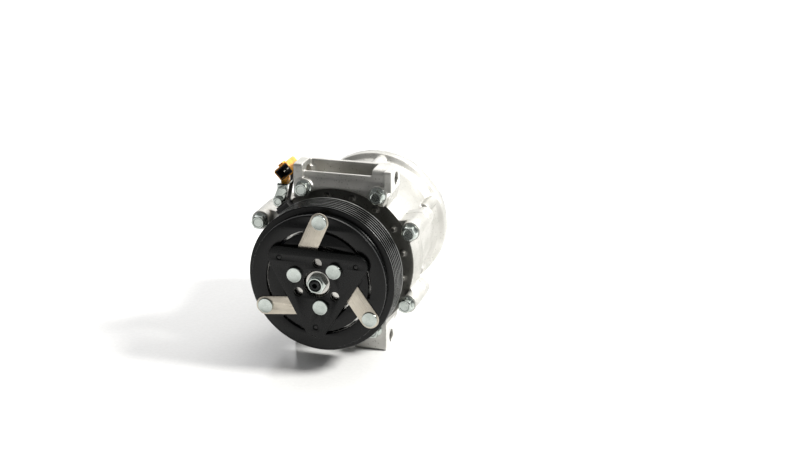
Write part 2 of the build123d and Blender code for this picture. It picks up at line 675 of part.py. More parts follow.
# ---------------------------------------------------------------- shaft line
PIN_AT = (ORBIT_R + 2.0, 0)


def main_shaft():
    """Shaft: threaded nose, keyed seat, seal journal, main journal, crank disc and pin."""
    shaft = turned(
        (0, -10.0), (2.1, -11.0), (2.1, -17.0), (3.4, -17.0), (4.8, -15.0),
        (4.8, -7.0), (6.0, -7.0), (6.0, 6.2), (8.0, 6.2), (8.0, 47.0), (15.0, 47.0),
        (15.0, 66.5), (24.0, 66.5), (24.0, 76.0), (0, 76.0),
    )
    return shaft + rod(4.5, 75.0, 97.0, PIN_AT) - KEY


def drive_bush():
    return rod(BUSH_R, 77.0, 98.0, CRANK_AT) - rod(4.5, 76, 99, PIN_AT)


def counterweight():
    """Web round the bush and a heavy rim on the side away from the crank pin."""
    web = link_outline(CRANK_AT, 14.0, (-8.0, 0), 19.0) - disc_at(BUSH_R, CRANK_AT)
    rim = (Circle(31.0) - Circle(20.6)) & sector(50, 105, 180)
    rim += (Circle(31.0) - Circle(20.6)) & sector(50, 180, 255)
    return slab(web, 77.0, 81.0) + slab(rim, 77.0, 93.4)


keep("main_shaft", main_shaft())
keep("drive_bush", drive_bush())
keep("counterweight", counterweight())

MAIN_PITCH_R = 23.0
MAIN_BALL_R = 4.6
main_inner, main_outer = race_pair(15.0, 20.6, 25.4, 31.0, 50.0, 66.0, (58.0,), MAIN_PITCH_R, MAIN_BALL_R)
keep("main_bearing_inner_race", main_inner)
keep("main_bearing_outer_race", main_outer)
keep("main_bearing_balls", *ball_row(10, MAIN_PITCH_R, MAIN_BALL_R, 58.0))
keep("main_bearing_cage", cage_ring(10, MAIN_PITCH_R, MAIN_BALL_R, 5.5, 58.0))

FRONT_NEEDLE_PITCH = 8.0 + RUNNING_GAP + NEEDLE_R
DRIVE_NEEDLE_PITCH = BUSH_R + RUNNING_GAP + NEEDLE_R
keep("front_needle_cup", ring(12.0, FRONT_NEEDLE_PITCH + NEEDLE_R + RUNNING_GAP, 19.0, 33.0))
keep("front_needles", *needle_set(20, FRONT_NEEDLE_PITCH, NEEDLE_R, 20.5, 31.5))
keep("drive_needle_cup", ring(14.5, DRIVE_NEEDLE_PITCH + NEEDLE_R + RUNNING_GAP, 84.5, 98.5, CRANK_AT))
keep("drive_needles", *needle_set(24, DRIVE_NEEDLE_PITCH, NEEDLE_R, 86.0, 97.0, CRANK_AT))
keep("shaft_seal", turned(
    (14.0, 10.0), (14.0, 16.8), (11.5, 16.8), (8.3, 13.6), (8.05, 12.8), (8.3, 12.0),
    (10.5, 12.4), (11.5, 10.0),
))
keep("seal_circlip", circlip(15.6, 12.2, 8.4, 9.8, 270))


# ---------------------------------------------------------------- coil connector
CONNECTOR_AT = (-45.1, 71.4)
CONNECTOR_TILT = 42.0
MOUTH_Y = 44.0
CONNECTOR_REAR = 63.0
SHELL_SIZE = (14.2, 10.8)
SHELL_WALL = 0.9
LINER_WALL = 0.7
SHELF_Z = 61.3
SHELF_THICK = 1.2
SHELF_X = (-49.5, -40.8)


def tilted(outline):
    """Puts an outline at the connector's place, with its tilt."""
    return Pos(*CONNECTOR_AT) * (Rot(0, 0, CONNECTOR_TILT) * outline)


def connector_shell():
    """Moulded shell with an open mouth, a latch ramp and a foot for the bracket."""
    width, height = SHELL_SIZE
    hollow = RectangleRounded(width - 2 * SHELL_WALL, height - 2 * SHELL_WALL, 1.0)
    foot = block((-48.0, -43.0), (45.0, 53.0), (SHELF_Z + SHELF_THICK, 68.0))
    shell = slab(tilted(RectangleRounded(width, height, 2.0)), MOUTH_Y, CONNECTOR_REAR)
    shell += slab(tilted(Pos(0, height / 2 + 0.7) * Rectangle(5.0, 1.8)), 48.0, 54.0)
    shell += foot
    return shell - slab(tilted(hollow), MOUTH_Y - 1, CONNECTOR_REAR - 2.5)


def connector_insert():
    """Terminal block: a liner inside the shell, its closed base and the tongue round the pins."""
    width, height = SHELL_SIZE[0] - 2 * SHELL_WALL, SHELL_SIZE[1] - 2 * SHELL_WALL
    body = RectangleRounded(width, height, 1.0)
    mouth = RectangleRounded(width - 2 * LINER_WALL, height - 2 * LINER_WALL, 0.6)
    tongue = RectangleRounded(width - 4.6, height - 4.6, 0.8)
    block_body = slab(tilted(body), MOUTH_Y + 0.6, CONNECTOR_REAR - 2.5)
    return block_body - slab(tilted(mouth), MOUTH_Y, 54.0) + slab(tilted(tongue), 51.5, 54.5)


def connector_pin(side):
    return slab(tilted(Pos(side * 1.9, 0) * Rectangle(1.8, 0.7)), 49.8, 51.5)


def bracket():
    """Pressed strip from the housing's lug up to a shelf under the connector."""
    strip = make_hull((disc_at(LUG_R, LUG_AT) + disc_at(4.3, (-45.2, 57.0)) + disc_at(3.4, (-44.2, 58.4))).edges())
    shelf = block(SHELF_X, (39.8, 53.0), (SHELF_Z, SHELF_Z + SHELF_THICK))
    web = block((SHELF_X[0], SHELF_X[1]), (39.8, 41.0), (57.0, SHELF_Z + SHELF_THICK))
    return slab(strip - disc_at(2.0, LUG_AT), 39.8, 41.0) + web + shelf


def bracket_screw():
    head = slab(Pos(*LUG_AT) * RegularPolygon(7 / math.sqrt(3), 6), 36.8, 39.2)
    return head + rod(4.6, 39.0, 39.8, LUG_AT) + rod(2.0, 39.0, 52.0, LUG_AT)


LEAD_R = 1.7
LEAD_ROUTE = (
    (-39.3, 36.5, 49.0), (-40.6, 42.0, 50.6), (-41.8, 47.5, 52.3),
    (-42.6, 53.5, 56.5), (-42.9, 57.6, 61.5), (-43.2, 58.6, 68.5),
)


def coil_lead():
    """Sleeved pair of wires from the boot, behind the bracket and up into the connector."""
    route = Spline(*LEAD_ROUTE, tangents=[(0, 1, 0), (0, 0, 1)])
    section = Plane(origin=route @ 0, z_dir=route % 0) * Circle(LEAD_R)
    socket = tilted(RectangleRounded(SHELL_SIZE[0], SHELL_SIZE[1], 2.0))
    return sweep(section, path=route) - slab(socket, MOUTH_Y, CONNECTOR_REAR)


keep("connector_shell", connector_shell())
keep("connector_insert", connector_insert())
keep("connector_pins", connector_pin(-1), connector_pin(1))
keep("connector_bracket", bracket())
keep("bracket_screw", bracket_screw())
keep("coil_lead", coil_lead())


# ---------------------------------------------------------------- files
os.makedirs("parts", exist_ok=True)
for name, solids in PARTS.items():
    shape = solids[0] if len(solids) == 1 else Compound(children=solids)
    export_step(shape, f"parts/{name}.step")
print(len(PARTS), "nodes written")
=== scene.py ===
# %% [markdown]
# # A belt-driven air-conditioning compressor
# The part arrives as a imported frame: metres, +Z up, the shaft along Y with the clutch in
# front at -Y. Everything drawn here sits on top of that frame and never moves it. Pieces that
# show are rebuilt with soft cast edges, rolled corners and real finishes; pieces inside keep
# their solid from the frame and only get a material.

# %% Load the frame and keep its box
import math

import bmesh
import bpy
import numpy as np
from mathutils import Matrix, Vector, geometry, noise


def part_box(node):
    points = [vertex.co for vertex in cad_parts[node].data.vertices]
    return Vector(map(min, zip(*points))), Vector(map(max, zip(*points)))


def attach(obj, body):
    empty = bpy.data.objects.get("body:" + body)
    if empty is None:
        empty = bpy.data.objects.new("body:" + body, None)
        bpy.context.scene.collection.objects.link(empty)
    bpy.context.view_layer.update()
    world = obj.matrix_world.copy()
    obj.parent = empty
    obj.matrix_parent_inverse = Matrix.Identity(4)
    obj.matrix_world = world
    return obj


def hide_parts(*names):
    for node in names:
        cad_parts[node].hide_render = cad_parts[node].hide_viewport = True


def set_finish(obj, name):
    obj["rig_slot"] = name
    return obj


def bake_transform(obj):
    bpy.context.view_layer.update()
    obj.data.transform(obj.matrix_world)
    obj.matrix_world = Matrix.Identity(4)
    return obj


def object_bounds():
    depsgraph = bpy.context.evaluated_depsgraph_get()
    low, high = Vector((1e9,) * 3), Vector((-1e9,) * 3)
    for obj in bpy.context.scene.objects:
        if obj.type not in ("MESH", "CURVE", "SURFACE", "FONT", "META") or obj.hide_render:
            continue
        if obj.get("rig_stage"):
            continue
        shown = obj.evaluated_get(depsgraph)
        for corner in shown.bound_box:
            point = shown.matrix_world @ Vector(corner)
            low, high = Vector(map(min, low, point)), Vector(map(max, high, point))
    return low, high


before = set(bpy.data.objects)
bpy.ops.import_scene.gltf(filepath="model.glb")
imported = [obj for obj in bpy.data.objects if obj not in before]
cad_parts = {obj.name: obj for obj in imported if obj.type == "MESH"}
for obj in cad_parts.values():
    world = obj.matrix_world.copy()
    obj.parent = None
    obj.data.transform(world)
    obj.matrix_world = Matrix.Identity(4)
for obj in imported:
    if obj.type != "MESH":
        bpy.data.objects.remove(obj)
cad_low, cad_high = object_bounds()

# %% [markdown]
# ## Measuring the frame
# All sizes below are in millimetres and are turned to metres at the last moment. Stations
# along the shaft start from the pulley's front rim, so one number ties every turned outline
# to the frame. A node that holds several solids, such as a set of bolts, is split into its
# loose parts, and each part's box says where its bolt sits.

# %% Sizes from the frame
MM = 0.001


def box_mm(node):
    """Lowest and highest corner of a frame node, in mm."""
    low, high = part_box(node)
    return [c / MM for c in low], [c / MM for c in high]


def solids_of(node):
    """The box of each separate solid in a frame node, in mm, in a fixed order."""
    bm = bmesh.new()
    bm.from_mesh(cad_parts[node].data)
    bmesh.ops.remove_doubles(bm, verts=bm.verts, dist=1e-6)
    bm.verts.index_update()
    seen = set()
    boxes = []
    for start in bm.verts:
        if start.index in seen:
            continue
        seen.add(start.index)
        queue, corners = [start], []
        while queue:
            vert = queue.pop()
            corners.append(vert.co[:])
            for edge in vert.link_edges:
                other = edge.other_vert(vert)
                if other.index not in seen:
                    seen.add(other.index)
                    queue.append(other)
        spread = np.array(corners) / MM
        boxes.append((spread.min(0).tolist(), spread.max(0).tolist()))
    bm.free()
    return sorted(boxes, key=lambda pair: [round(c, 2) for c in pair[0]])


def centre_xz(pair):
    """Middle of a solid's box, seen from the front."""
    low, high = pair
    return (low[0] + high[0]) / 2, (low[2] + high[2]) / 2


FRICTION_STEP = 2.0
RIM = box_mm("pulley_rotor")[0][1] + FRICTION_STEP
print("pulley rim at y", round(RIM, 2), "mm; floor at z", round(cad_low.z / MM, 2), "mm")

# %% [markdown]
# ## Helpers for colour and nodes
# Colours are written as sRGB hex, the way a paint chart gives them, and one function turns
# them to the linear values a shader adds up. One more function adds a node, sets its
# properties and joins or fills its inputs, so that a finish reads as a short recipe.

# %% Colour and node helpers
def to_linear(hex_colour):
    """An sRGB hex colour as linear RGBA."""
    parts = [int(hex_colour[i:i + 2], 16) / 255 for i in (1, 3, 5)]
    return [p / 12.92 if p <= 0.04045 else ((p + 0.055) / 1.055) ** 2.4 for p in parts] + [1.0]


def add(tree, kind, inputs, **settings):
    """Adds a node; each input gets the socket or the number it is given."""
    node = tree.nodes.new("ShaderNode" + kind)
    for key, value in settings.items():
        setattr(node, key, value)
    for key, value in inputs.items():
        if isinstance(value, bpy.types.NodeSocket):
            tree.links.new(value, node.inputs[key])
        else:
            node.inputs[key].default_value = value
    return node


def spread(tree, value, low, high, to_low, to_high):
    """Maps a pattern's middle range onto the range a finish needs."""
    inputs = {"Value": value, "From Min": low, "From Max": high, "To Min": to_low, "To Max": to_high}
    return add(tree, "MapRange", inputs).outputs[0]


def start_finish(name, metallic, **sockets):
    """A new material, with its uniform numbers on the shader's own sockets."""
    material = bpy.data.materials.new(name)
    material.use_nodes = True
    tree = material.node_tree
    shader = tree.nodes["Principled BSDF"]
    shader.inputs["Metallic"].default_value = metallic
    for key, value in sockets.items():
        shader.inputs[key.replace("_", " ").title()].default_value = value
    place = add(tree, "TexCoord", {}).outputs["Object"]
    return material, tree, shader, place


def wire(tree, shader, colour, roughness, height, relief_mm):
    """Joins the patterns to the shader: colour, gloss and relief."""
    tree.links.new(colour, shader.inputs["Base Color"])
    tree.links.new(roughness, shader.inputs["Roughness"])
    bump = add(tree, "Bump", {"Height": height, "Distance": relief_mm * MM, "Strength": 1.0})
    tree.links.new(bump.outputs[0], shader.inputs["Normal"])


# %% [markdown]
# ## Grained finishes
# Most of these surfaces have the same build: a slow drift of tone over centimetres, and a
# fine grain that changes tone, gloss and relief together. What differs is the real size of
# that grain. One recipe takes those sizes in millimetres, and every finish says which real
# surface it stands for.

# %% The grained recipe
def grained(name, light, dark, grain_mm, relief_mm, gloss, metallic=0.0, patch_mm=22.0, **sockets):
    """Base tone between two colours, gloss between two values, relief in mm."""
    material, tree, shader, place = start_finish(name, metallic, **sockets)
    fine = {"Vector": place, "Scale": 1 / (grain_mm * MM), "Detail": 4.0, "Roughness": 0.6}
    grain = add(tree, "TexNoise", fine).outputs[0]
    slow = {"Vector": place, "Scale": 1 / (patch_mm * MM), "Detail": 3.0}
    patch = add(tree, "TexNoise", slow).outputs[0]
    both = add(tree, "Math", {0: grain, 1: patch}, operation="ADD").outputs[0]
    tone = spread(tree, both, 0.75, 1.25, 0.0, 1.0)
    mixed = {0: tone, 6: to_linear(dark), 7: to_linear(light)}
    colour = add(tree, "Mix", mixed, data_type="RGBA").outputs[2]
    wire(tree, shader, colour, spread(tree, grain, 0.3, 0.7, *gloss), grain, relief_mm)
    return material


FINISH = {}
# Galvanised zinc, passivated clear: a cool, faintly green white with a soft mirror.
FINISH["zinc_plate"] = grained(
    "zinc_plated_steel", "#C6CCC8", "#A6ADA8", 0.9, 0.001, (0.14, 0.22), metallic=1.0, patch_mm=9.0)
# Nylon with glass fibre, moulded in a spark-eroded tool: a dull, even black.
FINISH["black_nylon"] = grained(
    "moulded_black_nylon", "#1B1B1C", "#0E0E0F", 0.35, 0.02, (0.42, 0.60), patch_mm=12.0)
# PBT connector plastic: orange yellow, slightly translucent look, glossy on the tool's polish.
FINISH["yellow_pbt"] = grained(
    "moulded_yellow_pbt", "#F2AE22", "#D98A12", 0.5, 0.008, (0.28, 0.42), patch_mm=5.0)
# Nitrile rubber: bloom makes its black uneven and matt.
FINISH["nitrile"] = grained(
    "moulded_nitrile_rubber", "#232322", "#121212", 0.8, 0.02, (0.45, 0.70), patch_mm=4.0)
# Potting resin over the winding: dark, brown and wet looking.
FINISH["coil_resin"] = grained(
    "cast_potting_resin", "#2B1F18", "#17100C", 2.0, 0.05, (0.18, 0.34), patch_mm=9.0)
# Filled PTFE of the tip seals: an oily bronze brown.
FINISH["ptfe"] = grained(
    "bronze_filled_ptfe", "#6E5A40", "#4B3C2B", 0.4, 0.004, (0.40, 0.55), patch_mm=7.0)
# Grey iron counterweight, sand cast: coarse dark skin.
FINISH["grey_iron"] = grained(
    "sand_cast_grey_iron", "#5A5856", "#3B3A39", 1.2, 0.10, (0.48, 0.68), metallic=1.0, patch_mm=11.0)
# Phosphated spring steel of the circlips: oily dark grey.
FINISH["phosphate"] = grained(
    "phosphated_steel", "#3A3B3C", "#232425", 0.5, 0.006, (0.35, 0.55), metallic=1.0, patch_mm=8.0)
# Polyamide ball cage, moulded.
FINISH["cage_nylon"] = grained(
    "moulded_natural_nylon", "#C9B98F", "#AE9B70", 0.6, 0.01, (0.32, 0.48), patch_mm=8.0)
# Tinned copper blades: soft silver with a warm cast.
FINISH["tinned_copper"] = grained(
    "tinned_copper", "#D2CEC4", "#AFA798", 0.6, 0.003, (0.20, 0.34), metallic=1.0, patch_mm=3.0)
# Blued reed steel: thin strip, straw and blue from tempering.
FINISH["reed_steel"] = grained(
    "tempered_strip_steel", "#8F938F", "#6C6A60", 0.7, 0.002, (0.14, 0.26), metallic=1.0, patch_mm=6.0)
print("grained finishes", len(FINISH))

# %% [markdown]
# ## Cast aluminium
# The three housings are gravity castings that were shot blasted. The blast leaves a fine
# pebbled skin with small pits, a warm light grey that is brighter where corners rubbed in
# the barrel. The pebbles are 0.2 mm on the real part; they are drawn at 0.9 mm so that the
# grain shows at all from arm's length. Corners are found with the mesh's own curvature.

# %% Cast and milled aluminium
def cast_aluminium(name, light, dark, pit_colour, edge):
    material, tree, shader, place = start_finish(name, 1.0)
    skin = {"Vector": place, "Scale": 1 / (0.9 * MM), "Detail": 5.0, "Roughness": 0.65}
    pebbles = add(tree, "TexNoise", skin).outputs[0]
    slow = {"Vector": place, "Scale": 1 / (26 * MM), "Detail": 4.0}
    drift = add(tree, "TexNoise", slow).outputs[0]
    cells = {"Vector": place, "Scale": 1 / (2.6 * MM), "Randomness": 1.0}
    pit = add(tree, "TexVoronoi", cells).outputs["Distance"]
    hollow = spread(tree, pit, 0.05, 0.22, 0.0, 1.0)
    tone = spread(tree, drift, 0.35, 0.65, 0.0, 1.0)
    mixed = {0: tone, 6: to_linear(dark), 7: to_linear(light)}
    body = add(tree, "Mix", mixed, data_type="RGBA").outputs[2]
    shade = {0: hollow, 6: to_linear(pit_colour), 7: body}
    pitted = add(tree, "Mix", shade, data_type="RGBA").outputs[2]
    corner = add(tree, "NewGeometry", {}).outputs["Pointiness"]
    rubbed = {0: spread(tree, corner, 0.52, 0.60, 0.0, 0.8), 6: pitted, 7: to_linear(edge)}
    colour = add(tree, "Mix", rubbed, data_type="RGBA").outputs[2]
    depth = add(tree, "Math", {0: pebbles, 1: hollow}, operation="ADD").outputs[0]
    wire(tree, shader, colour, spread(tree, pebbles, 0.3, 0.7, 0.44, 0.60), depth, 0.10)
    return material


def tool_marks(tree, place, feed_mm):
    """Rings left by a lathe tool: a pattern that depends on radius and station only."""
    flat = add(tree, "VectorMath", {0: place, 1: (1, 0, 1)}, operation="MULTIPLY").outputs[0]
    radius = add(tree, "VectorMath", {0: flat}, operation="LENGTH").outputs["Value"]
    station = add(tree, "SeparateXYZ", {0: place}).outputs["Y"]
    spot = add(tree, "CombineXYZ", {0: radius, 1: station}).outputs[0]
    return add(tree, "TexNoise", {"Vector": spot, "Scale": 1 / (feed_mm * MM), "Detail": 3.0}).outputs[0]


def turned(name, light, dark, feed_mm, relief_mm, gloss):
    """Metal off the lathe: ring marks and a broken sheen."""
    material, tree, shader, place = start_finish(name, 1.0)
    marks = tool_marks(tree, place, feed_mm)
    slow = add(tree, "TexNoise", {"Vector": place, "Scale": 1 / (9 * MM), "Detail": 3.0}).outputs[0]
    both = add(tree, "Math", {0: marks, 1: slow}, operation="ADD").outputs[0]
    tone = spread(tree, both, 0.75, 1.25, 0.0, 1.0)
    mixed = {0: tone, 6: to_linear(dark), 7: to_linear(light)}
    colour = add(tree, "Mix", mixed, data_type="RGBA").outputs[2]
    wire(tree, shader, colour, spread(tree, marks, 0.3, 0.7, *gloss), marks, relief_mm)
    return material


# Outside of the castings: blasted to an even pale grey.
FINISH["cast_aluminium"] = cast_aluminium(
    "shot_blasted_cast_aluminium", "#C4C3BF", "#ACABA6", "#807E79", "#E8E7E3")
# The pocket behind the pulley: the cast colour is darkened there as painted shade of the recess.
FINISH["cast_painted_shade"] = cast_aluminium(
    "cast_aluminium_painted_pocket_shade", "#7E7D79", "#62615D", "#45443F", "#A3A19B")
# Milled and turned faces of the castings: clean, pale, with 0.4 mm feed marks.
FINISH["milled_aluminium"] = turned("milled_aluminium", "#E2E2E0", "#C4C4C1", 0.4, 0.004, (0.22, 0.38))
# Ground shaft and turned hub: neutral steel, feed marks 0.25 mm.
FINISH["ground_steel"] = turned("ground_steel", "#D3D1CC", "#A9A7A2", 0.25, 0.003, (0.14, 0.30))
# Hardened and honed bearing steel: the brightest of the steels.
FINISH["bearing_steel"] = turned("honed_bearing_steel", "#DCDCDA", "#BDBDBB", 0.2, 0.001, (0.07, 0.16))
# Bare steel where the coat was turned away, on the friction wall: bright rings.
FINISH["turned_edge"] = turned("freshly_turned_steel", "#E9E8E4", "#BFBEBA", 0.3, 0.004, (0.16, 0.32))
# Rib crests painted as dull bare steel: partly coat rubbed through, partly a painted highlight along each
# crest.
FINISH["worn_crest_and_highlight"] = turned("worn_steel_rib_crest_painted_highlight", "#6C6D6B", "#4B4C4A", 0.3, 0.003, (0.24, 0.36))
# Coil shell: zinc plated deep-drawn steel, duller than the bolts.
FINISH["drawn_steel"] = turned("drawn_zinc_plated_steel", "#B9BDB8", "#8E928D", 0.8, 0.004, (0.26, 0.42))
print("metals", sorted(m for m in FINISH if "steel" in m or "alum" in m))

# %% [markdown]
# ## Black dip coat
# Pulley, armature and hub plate are steel with a baked electro-dip coat: 20 microns of black
# resin that follows every tool mark and dries with a faint orange peel about 1.5 mm across.
# It reflects the white floor in front as a dark grey veil, so gloss matters more than colour.
# Dust specks are 0.1 mm in life; here they are 0.5 mm and rare.

# %% Black coat
def black_coat(name, marks_mm, gloss):
    material, tree, shader, place = start_finish(name, 0.0)
    shader.inputs["IOR"].default_value = 1.33
    marks = tool_marks(tree, place, marks_mm)
    skin = {"Vector": place, "Scale": 1 / (1.5 * MM), "Detail": 2.0}
    peel = add(tree, "TexNoise", skin).outputs[0]
    slow = {"Vector": place, "Scale": 1 / (17 * MM), "Detail": 4.0}
    drift = add(tree, "TexNoise", slow).outputs[0]
    mixed = {0: spread(tree, drift, 0.35, 0.65, 0.0, 1.0), 6: to_linear("#030404"), 7: to_linear("#080909")}
    coat = add(tree, "Mix", mixed, data_type="RGBA").outputs[2]
    cells = {"Vector": place, "Scale": 1 / (4.0 * MM), "Randomness": 1.0}
    grains = add(tree, "TexVoronoi", cells).outputs["Distance"]
    speck = spread(tree, grains, 0.04, 0.06, 0.2, 0.0)
    dusty = {0: speck, 6: coat, 7: to_linear("#6F6D68")}
    colour = add(tree, "Mix", dusty, data_type="RGBA").outputs[2]
    height = add(tree, "Math", {0: marks, 1: peel}, operation="ADD").outputs[0]
    wire(tree, shader, colour, spread(tree, peel, 0.3, 0.7, *gloss), height, 0.0015)
    return material


FINISH["black_coat"] = black_coat("black_dip_coat_on_turned_steel", 0.5, (0.20, 0.28))
FINISH["black_coat_plate"] = black_coat("black_dip_coat_on_pressed_steel", 3.0, (0.24, 0.32))
print("black coats", FINISH["black_coat"].name, FINISH["black_coat_plate"].name)

# %% [markdown]
# ## Spring steel
# The three leaf springs are cut from cold-rolled strip. The rolls leave fine lines along the
# strip and a warm beige silver. The lines need to know which way each strip runs, so every
# spring carries its own along-the-strip coordinate as a mesh attribute, in millimetres.

# %% Rolled strip
def rolled_strip():
    material, tree, shader, place = start_finish("cold_rolled_spring_steel", 1.0)
    along = add(tree, "Attribute", {}, attribute_name="strip").outputs["Vector"]
    # rolling lines: 0.6 mm apart, 25 times longer than wide
    lines = add(tree, "VectorMath", {0: along, 1: (0.06, 1.6, 1.6)}, operation="MULTIPLY").outputs[0]
    streak = add(tree, "TexNoise", {"Vector": lines, "Scale": 1.0, "Detail": 4.0}).outputs[0]
    slow = add(tree, "TexNoise", {"Vector": place, "Scale": 1 / (8 * MM), "Detail": 3.0}).outputs[0]
    both = add(tree, "Math", {0: streak, 1: slow}, operation="ADD").outputs[0]
    mixed = {0: spread(tree, both, 0.75, 1.25, 0.0, 1.0), 6: to_linear("#AFA89B"), 7: to_linear("#C6BFB2")}
    colour = add(tree, "Mix", mixed, data_type="RGBA").outputs[2]
    wire(tree, shader, colour, spread(tree, streak, 0.3, 0.7, 0.24, 0.40), streak, 0.006)
    return material


FINISH["spring_steel"] = rolled_strip()
print("spring finish", FINISH["spring_steel"].name)

# %% [markdown]
# ## Outlines and mesh helpers
# Flat pieces are drawn as outlines seen from the front. Round-cornered shapes such as the
# triangular hub plate are the hull of a few discs, which is how a designer draws them too.
# A flat piece is made from a filled curve, because a curve rolls its own edges; turned pieces
# are an outline spun about the shaft; bolts and rivets are lofted ring by ring, since a hex
# head needs rings that change from round to six-sided.

# %% Outline helpers
def polar(radius, angle):
    """A point at a radius and an angle from +X, seen from the front."""
    turn = math.radians(angle)
    return radius * math.cos(turn), radius * math.sin(turn)


def arc(centre, radius, start, end, steps):
    """Points along an arc; angles in degrees."""
    points = []
    for i in range(steps + 1):
        x, z = polar(radius, start + (end - start) * i / steps)
        points.append((centre[0] + x, centre[1] + z))
    return points


def circle(centre, radius, steps=96):
    return arc(centre, radius, 0, 360, steps)[:-1]


def hull(discs, steps=120):
    """The tight outline round several discs, each given as (centre, radius)."""
    points = [p for centre, radius in discs for p in circle(centre, radius, steps)]
    return [points[i] for i in geometry.convex_hull_2d([Vector(p) for p in points])]


def arc_slot(radius, width, start, end):
    """A slot along an arc, with square ends."""
    outer = arc((0, 0), radius + width / 2, start, end, 60)
    inner = arc((0, 0), radius - width / 2, end, start, 60)
    return outer + inner


def finer(outline, step):
    """The same outline with extra points, so that no side is longer than step mm."""
    points = []
    for a, b in zip(outline, outline[1:] + outline[:1]):
        count = max(1, math.ceil(math.dist(a, b) / step))
        points += [(a[0] + (b[0] - a[0]) * i / count, a[1] + (b[1] - a[1]) * i / count) for i in range(count)]
    return points


def softened(outline, radius, steps=3):
    """Rounds each corner of an outline; short sides take a smaller radius."""
    points = []
    for before, corner, after in zip(outline[-1:] + outline[:-1], outline, outline[1:] + outline[:1]):
        cut_in = min(radius, 0.4 * math.dist(before, corner))
        cut_out = min(radius, 0.4 * math.dist(after, corner))
        start = Vector(corner) + (Vector(before) - Vector(corner)).normalized() * cut_in
        end = Vector(corner) + (Vector(after) - Vector(corner)).normalized() * cut_out
        for i in range(steps + 1):
            t = i / steps
            point = start * (1 - t) ** 2 + Vector(corner) * 2 * t * (1 - t) + end * t ** 2
            points.append((point.x, point.y))
    return points


# %% Mesh helpers
def keep_piece(bm, name, finish, sharp=35):
    """Turns a bmesh into a shown piece, smooth except at its sharp edges."""
    mesh = bpy.data.meshes.new(name)
    bmesh.ops.recalc_face_normals(bm, faces=bm.faces)
    bm.to_mesh(mesh)
    bm.free()
    piece = bpy.data.objects.new(name, mesh)
    bpy.context.scene.collection.objects.link(piece)
    mesh.materials.append(FINISH[finish])
    mesh.shade_smooth()
    mesh.set_sharp_from_angle(angle=math.radians(sharp))
    return piece


def flat_piece(bm, outline, holes, y0, y1, edge):
    """Adds a flat piece between two stations, its edges rolled by edge mm."""
    curve = bpy.data.curves.new("outline", "CURVE")
    curve.dimensions = "2D"
    curve.fill_mode = "BOTH"
    for index, loop in enumerate([outline, *holes]):
        area = sum(a[0] * b[1] - b[0] * a[1] for a, b in zip(loop, loop[1:] + loop[:1]))
        anticlockwise = area > 0
        wanted = loop if anticlockwise == (index == 0) else loop[::-1]
        spline = curve.splines.new("POLY")
        spline.points.add(len(wanted) - 1)
        for point, (x, z) in zip(spline.points, wanted):
            point.co = (x * MM, z * MM, 0, 1)
        spline.use_cyclic_u = True
    curve.extrude = ((y1 - y0) / 2 - edge) * MM
    curve.bevel_depth = edge * MM
    curve.bevel_resolution = 1
    curve.offset = -edge * MM
    holder = bpy.data.objects.new("outline", curve)
    bpy.context.scene.collection.objects.link(holder)
    filled = bpy.data.meshes.new_from_object(holder.evaluated_get(bpy.context.evaluated_depsgraph_get()))
    filled.transform(Matrix.Translation((0, (y0 + y1) / 2 * MM, 0)) @ Matrix.Rotation(math.pi / 2, 4, "X"))
    bm.from_mesh(filled)
    bpy.data.objects.remove(holder)
    bmesh.ops.remove_doubles(bm, verts=bm.verts, dist=1e-7)


def spin_outline(bm, outline, steps=256, centre=(0, 0)):
    """Spins a (radius, y) outline about a line along the shaft's direction."""
    verts = [bm.verts.new((r * MM, y * MM, 0)) for r, y in outline]
    sides = list(zip(verts, verts[1:] + verts[:1]))
    if outline[0][0] == 0 and outline[-1][0] == 0:
        sides.pop()
    edges = [bm.edges.new(pair) for pair in sides]
    bmesh.ops.spin(bm, geom=verts + edges, axis=(0, 1, 0), angle=math.tau, steps=steps, cent=(0, 0, 0))
    bmesh.ops.remove_doubles(bm, verts=bm.verts, dist=2e-7)
    if centre != (0, 0):
        bmesh.ops.translate(bm, verts=bm.verts, vec=(centre[0] * MM, 0, centre[1] * MM))


def loft(bm, rings, place, joined=False):
    """Skins ring after ring of points in mm, then closes the ends or joins them."""
    rows = [[bm.verts.new(place @ (Vector(p) * MM)) for p in ring] for ring in rings]
    pairs = list(zip(rows, rows[1:]))
    if joined:
        pairs.append((rows[-1], rows[0]))
    for low, high in pairs:
        for i in range(len(low)):
            j = (i + 1) % len(low)
            bm.faces.new((low[i], low[j], high[j], high[i]))
    if not joined:
        bm.faces.new(rows[0][::-1])
        bm.faces.new(rows[-1])


def round_ring(radius, height, steps=72):
    return [(*polar(radius, 360 * i / steps), height) for i in range(steps)]


def hex_ring(across, height, turn=0, chamfer_from=None, steps=72):
    """A six-sided ring; with chamfer_from, its height drops where a cone cuts the corners."""
    ring = []
    for i in range(steps):
        angle = 360 * i / steps
        radius = across / 2 / math.cos(math.radians((angle - turn) % 60 - 30))
        drop = 0 if chamfer_from is None else (radius - chamfer_from) * math.tan(math.radians(30))
        ring.append((*polar(radius, angle), height - drop))
    return ring


FACING_FRONT = Matrix.Rotation(math.pi / 2, 4, "X")
FACING_REAR = Matrix.Rotation(-math.pi / 2, 4, "X")


def standing_at(x, y, z, facing):
    """Where a lofted piece stands: its own +Z points the way it faces."""
    return Matrix.Translation(Vector((x, y, z)) * MM) @ facing


def block(bm, low, high, edge, place=Matrix.Identity(4)):
    """A block between two corners in mm, with its edges rounded."""
    made = bmesh.ops.create_cube(bm, size=1.0)["verts"]
    size = [(b - a) * MM for a, b in zip(low, high)]
    middle = [(a + b) / 2 * MM for a, b in zip(low, high)]
    for vert in made:
        vert.co = place @ Vector([m + c * s for m, c, s in zip(middle, vert.co, size)])
    edges = list({e for v in made for e in v.link_edges})
    bmesh.ops.bevel(bm, geom=edges, offset=edge * MM, segments=3, affect="EDGES", profile=0.5)


